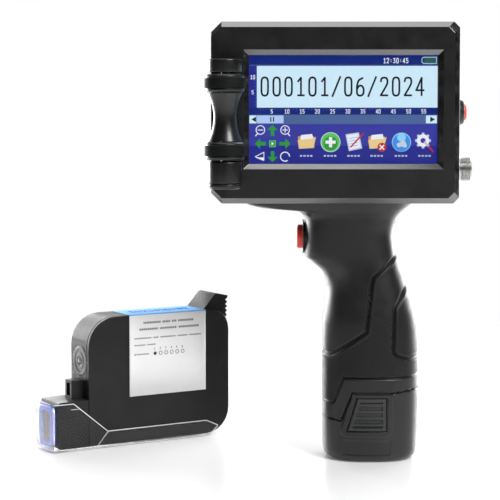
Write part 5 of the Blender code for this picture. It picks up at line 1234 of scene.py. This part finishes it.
def build_fine_label():
    """Printed sticker: a white field down the side and a blue band over the top."""
    top = TANK_TOP + LABEL_SKIN
    skin = -LABEL_SKIN
    side = [(skin, LABEL_LOW), (skin, top - LABEL_BEND)]
    bend = [(skin + LABEL_BEND * (1 - math.cos(t)), top - LABEL_BEND * (1 - math.sin(t)))
            for t in np.linspace(0, math.pi / 2, 6)]
    band = side[1:] + bend + [(TANK_THICK - 1.2 * MM, top)]
    columns = np.linspace(LABEL_START, LABEL_END, 40)
    for name, line, material, hidden in (("label_side", side, LABEL_WHITE, ("cartridge_label",)),
                                         ("label_top", band, LABEL_BLUE, ())):
        points = placed((x, y, z) for y, z in line for x in columns)
        mesh = mesh_of(name, points, grid_faces(len(line), len(columns)))
        thicken(add_piece(name, mesh, material, "cartridge_label", hidden, 60.0), LABEL_WALL)
    build_label_print(skin - PRINT_SKIN, top + PRINT_SKIN)


def build_label_print(ink, top_ink):
    """Generic print only: rules in place of words, six rings numbered 1 to 6, and 0 to 9 on the blue band."""
    rings = []
    numbers = []
    for number in range(6):
        x = LABEL_START + RING_START + number * RING_PITCH
        outline = disc(x, RING_HEIGHT, RING_RADIUS, 24)
        rings += stroke(outline + outline[:1], 0.28 * MM) if number else [outline]
        numbers += numerals(str(number + 1), x - 0.6 * MM, 0, 0.66 * MM, 1.1 * MM, 1.1 * MM, 0.2 * MM, True)
    numbers = [[(x, 51.7 * MM - down) for x, down in outline] for outline in numbers]
    rules = []
    for z, start, end, weight, words in RULES:
        letter = (end - start) / (sum(words) + len(words) - 1)
        x = start
        for word in words:
            for _ in range(word):
                rules.append(box(x, z - weight, x + 0.62 * letter, z + weight))
                x += letter
            x += letter
    for name, outlines in (("label_rings", rings), ("label_numbers", numbers), ("label_rules", rules)):
        print_marks(name, outlines, lambda x, z: (x, ink, z))
    digits = numerals("0123456789", 0, 0, 2.6 * MM, 6.2 * MM, 3.6 * MM, 0.6 * MM, True)
    left, back = LABEL_START + 6.2 * MM, TANK_THICK / 2 + 3.0 * MM
    print_marks("band_numbers", digits, lambda x, down: (left + x, back - down, top_ink))


def print_marks(name, outlines, at):
    points, faces = flat_faces(outlines, at)
    add_piece(name, plain_mesh(name, placed(points), faces), PRINT_INK, "cartridge_label")


def build_fine_plug():
    """Turned plug with a ring groove, and the steel ball that closes it."""
    low, high = local_box("fill_plug")
    middle = (low + high) / 2
    radius = (high.z - low.z) / 2
    bore, back, out = 1.4 * MM, -0.8 * MM, 0.4 * MM
    # Radius and depth below the face of each turn of the profile, from the bore outwards.
    turned = ((1.4, 0.9), (2.2, 0.6), (3.0, 0.1), (3.6, 0.0), (4.2, 0.1), (4.7, 0.6), (6.0, 0.6), (6.4, 0.1),
              (7.0, 0.0))
    profile = [(bore, back)] + [(across * MM, out - deep * MM) for across, deep in turned]
    profile += [(radius - 0.3 * MM, out - 0.1 * MM), (radius, out - 0.4 * MM), (radius, back), (bore, back)]
    axis = CARTRIDGE_PLACE.to_3x3() @ Vector((-1, 0, 0))
    place = CARTRIDGE_PLACE @ Vector((TANK_START, middle.y, middle.z))
    lathe("fine_plug", profile, PLUG, "fill_plug", place, axis, angle=45.0)
    low, high = local_box("fill_ball")
    mesh = bpy.data.meshes.new("fine_ball")
    work = bmesh.new()
    bmesh.ops.create_uvsphere(work, u_segments=40, v_segments=24, radius=(high.z - low.z) / 2)
    bmesh.ops.translate(work, vec=CARTRIDGE_PLACE @ ((low + high) / 2), verts=work.verts)
    work.to_mesh(mesh)
    work.free()
    add_piece("fine_ball", mesh, NICKEL, "fill_ball", ("fill_ball",), 60.0)


def build_fine_cap():
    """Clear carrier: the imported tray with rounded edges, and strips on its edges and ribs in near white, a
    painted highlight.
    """
    refined("nozzle_cap", CLEAR, 0.22 * MM, 3, 25.0)
    low, high = local_box("nozzle_cap")
    outer = round_rectangle(low.y + 0.2 * MM, high.y - 0.2 * MM, 0.4 * MM, high.z - 0.2 * MM, 3.0 * MM)
    inner = round_rectangle(low.y + 2.6 * MM, high.y - 2.6 * MM, 3.0 * MM, high.z - 2.8 * MM, 2.8 * MM)
    frame_ring("cap_lip", outer, inner, low.x + 0.02 * MM, low.x + 1.0 * MM, CLEAR_VIOLET, "nozzle_cap", ())
    end = high.x - 0.8 * MM
    outline = [(low.x + 0.6 * MM, CAP_SIDE_HIGH), (CAP_SIDE_END, CAP_SIDE_HIGH),
               (CAP_TRAY_START, CAP_TRAY_HIGH), (high.x - 8.0 * MM, CAP_TRAY_HIGH), (end, 5.7 * MM)]
    foot = [(6.0 * MM, 0.6 * MM), (high.x - 6.2 * MM, 0.6 * MM), (end, 5.0 * MM)]
    gusset = [(CAP_TRAY_START + 0.2 * MM, CAP_TRAY_HIGH - 0.3 * MM), (CAP_TRAY_START - 6.0 * MM, 1.6 * MM)]
    ledge = [(x, CAP_SIDE_HIGH - 3.2 * MM) for x in (7.0 * MM, 12.5 * MM)]
    lines = stroke([(x, z - CAP_BEAD / 2) for x, z in outline], CAP_BEAD) + stroke(foot, CAP_BEAD)
    lines += strokes((gusset, ledge), 0.7 * CAP_BEAD)
    # The strips follow the cap's real edges and ribs; their near-white colour is a painted highlight.
    for label, y in (("near", low.y), ("far", high.y - CAP_BEAD)):
        slab(f"cap_edge_highlight_strips_{label}", lines, y, y + CAP_BEAD, PAINTED_EDGE_HIGHLIGHT, "nozzle_cap", 0.08 * MM)


def build_fine_seal():
    low, high = local_box("cap_seal")
    outer = round_rectangle(low.y, high.y, low.z, high.z, 4.2 * MM)
    inner = round_rectangle(low.y + SEAL_WIDTH, high.y - SEAL_WIDTH, low.z + SEAL_WIDTH, high.z - SEAL_WIDTH,
                            2.6 * MM)
    frame_ring("fine_seal", outer, inner, low.x, high.x, BLUE_SEAL, "cap_seal", ("cap_seal",))


def build_fine_nozzles():
    """Orifice plate with its two dark rows of nozzles."""
    low, high = local_box("nozzle_plate")
    slab("fine_nozzle_plate", [round_rectangle(low.y, high.y, low.z, high.z, 1.2 * MM)], low.x, high.x,
         COPPER, "nozzle_plate", 0.08 * MM, True, ("nozzle_plate",))
    middle = (low.y + high.y) / 2
    rows = [box(y, low.z + NOZZLE_MARGIN, y + NOZZLE_ROW, high.z - NOZZLE_MARGIN)
            for y in (middle - 1.6 * MM, middle + 1.0 * MM)]
    slab("nozzle_rows", rows, low.x - 0.04 * MM, low.x + 0.1 * MM, INK_DARK, "nozzle_plate", 0.0, True)


# ---------------------------------------------------------------- stage

FLOOR_HALF = 1.3
FLOOR_ROUGHNESS = 0.30
FLOOR_SHINE = 0.45
FLOOR_GLOW = 0.10
FLOOR_RUN_OUT = (0.22, 0.55)
WORLD_FADE = (0.30, 0.95)
WORLD_FRONT, WORLD_BACK = 0.03, 1.5
PURE_WHITE = (1.0, 1.0, 1.0, 1.0)
AIM = (-0.02, 0.0, 0.12)
# Place, width and height, and power in watts of each lamp.
LAMPS = {"top_box": ((-0.10, 0.05, 1.05), (1.0, 0.6), 4.2),
         "key_box": ((0.95, -1.20, 1.50), (0.8, 0.8), 46.0),
         "rim_box_-1": ((-0.78, 1.02, 0.26), (0.95, 0.52), 17.0),
         "rim_box_1": ((0.78, 1.02, 0.26), (0.95, 0.52), 17.0)}
CAMERA_PLACE = (-0.0630, -0.8850, 0.1857)
CAMERA_PITCH = 3.4
CAMERA_LENS = 122.4
CAMERA_SHIFT_Y = -0.098


def build_floor():
    """White table that keeps the shadow near the object and runs out into plain white."""
    mesh = plain_mesh("floor", [(x, y, 0) for x, y in square(0, 0, FLOOR_HALF)], [(0, 1, 2, 3)])
    floor = bpy.data.objects.new("floor", mesh)
    floor.location.z = CAD_BOX[0].z - 0.2 * MM
    n = Nodes("floor_paper")
    n.tone(n.noise(6.0), (0.86, 0.86, 0.86), (0.88, 0.88, 0.88))
    n.set(Roughness=FLOOR_ROUGHNESS, Specular_IOR_Level=FLOOR_SHINE, Emission_Strength=FLOOR_GLOW,
          Emission_Color=PURE_WHITE)
    reach = n.add("ShaderNodeVectorMath", operation="LENGTH")
    n.link(n.coords, reach.inputs[0])
    far = n.span(reach.outputs["Value"], 0.0, 1.0, *FLOOR_RUN_OUT)
    seen = n.sum(far, n.add("ShaderNodeLightPath").outputs["Is Camera Ray"], "MULTIPLY")
    mix = n.add("ShaderNodeMixShader")
    n.link(seen, mix.inputs["Fac"])
    n.link(n.shader.outputs["BSDF"], mix.inputs[1])
    n.link(n.add("ShaderNodeEmission").outputs["Emission"], mix.inputs[2])
    n.link(mix.outputs["Shader"], n.tree.nodes["Material Output"].inputs["Surface"])
    mesh.materials.append(n.material)
    bpy.context.scene.collection.objects.link(floor)


def build_world():
    """White to the camera; for the light it sheds, bright behind and beside the object and dim in front."""
    world = bpy.data.worlds.new("studio")
    bpy.context.scene.world = world
    world.use_nodes = True
    tree = world.node_tree
    tree.nodes.clear()
    add = tree.nodes.new
    link = tree.links.new
    split = add("ShaderNodeSeparateXYZ")
    link(add("ShaderNodeTexCoord").outputs["Generated"], split.inputs["Vector"])
    fade = add("ShaderNodeMapRange")
    fade.interpolation_type = "SMOOTHSTEP"
    for socket, value in (("From Min", WORLD_FADE[0]), ("From Max", WORLD_FADE[1]), ("To Min", WORLD_FRONT),
                          ("To Max", WORLD_BACK)):
        fade.inputs[socket].default_value = value
    link(split.outputs["Y"], fade.inputs["Value"])
    shed, seen = add("ShaderNodeBackground"), add("ShaderNodeBackground")
    link(fade.outputs["Result"], shed.inputs["Strength"])
    mix = add("ShaderNodeMixShader")
    link(add("ShaderNodeLightPath").outputs["Is Camera Ray"], mix.inputs["Fac"])
    for number, sky in enumerate((shed, seen), 1):
        sky.inputs["Color"].default_value = PURE_WHITE
        link(sky.outputs["Background"], mix.inputs[number])
    link(mix.outputs["Shader"], add("ShaderNodeOutputWorld").inputs["Surface"])


def build_lights():
    for name, (place, size, power) in LAMPS.items():
        data = bpy.data.lights.new(name, "AREA")
        data.shape = "RECTANGLE"
        data.size, data.size_y = size
        data.energy = power
        lamp = bpy.data.objects.new(name, data)
        lamp.location = place
        lamp.rotation_mode = "QUATERNION"
        lamp.rotation_quaternion = (Vector(AIM) - Vector(place)).to_track_quat("-Z", "Y")
        lamp.visible_camera = False
        bpy.context.scene.collection.objects.link(lamp)


def build_camera():
    data = bpy.data.cameras.new("photo_camera")
    data.lens = CAMERA_LENS
    data.shift_y = CAMERA_SHIFT_Y
    data.clip_start = 0.05
    data.clip_end = 20.0
    camera = bpy.data.objects.new("photo_camera", data)
    camera.location = CAMERA_PLACE
    camera.rotation_euler = (math.radians(90.0 - CAMERA_PITCH), 0.0, 0.0)
    bpy.context.scene.collection.objects.link(camera)
    bpy.context.scene.camera = camera


def write_sizes():
    bpy.context.view_layer.update()


paint_nodes()
build_head()
build_display()
build_roller()
build_fittings()
build_handle()
build_cartridge()
build_floor()
build_world()
build_lights()
build_camera()
bpy.context.scene.view_settings.view_transform = "Standard"
write_sizes()
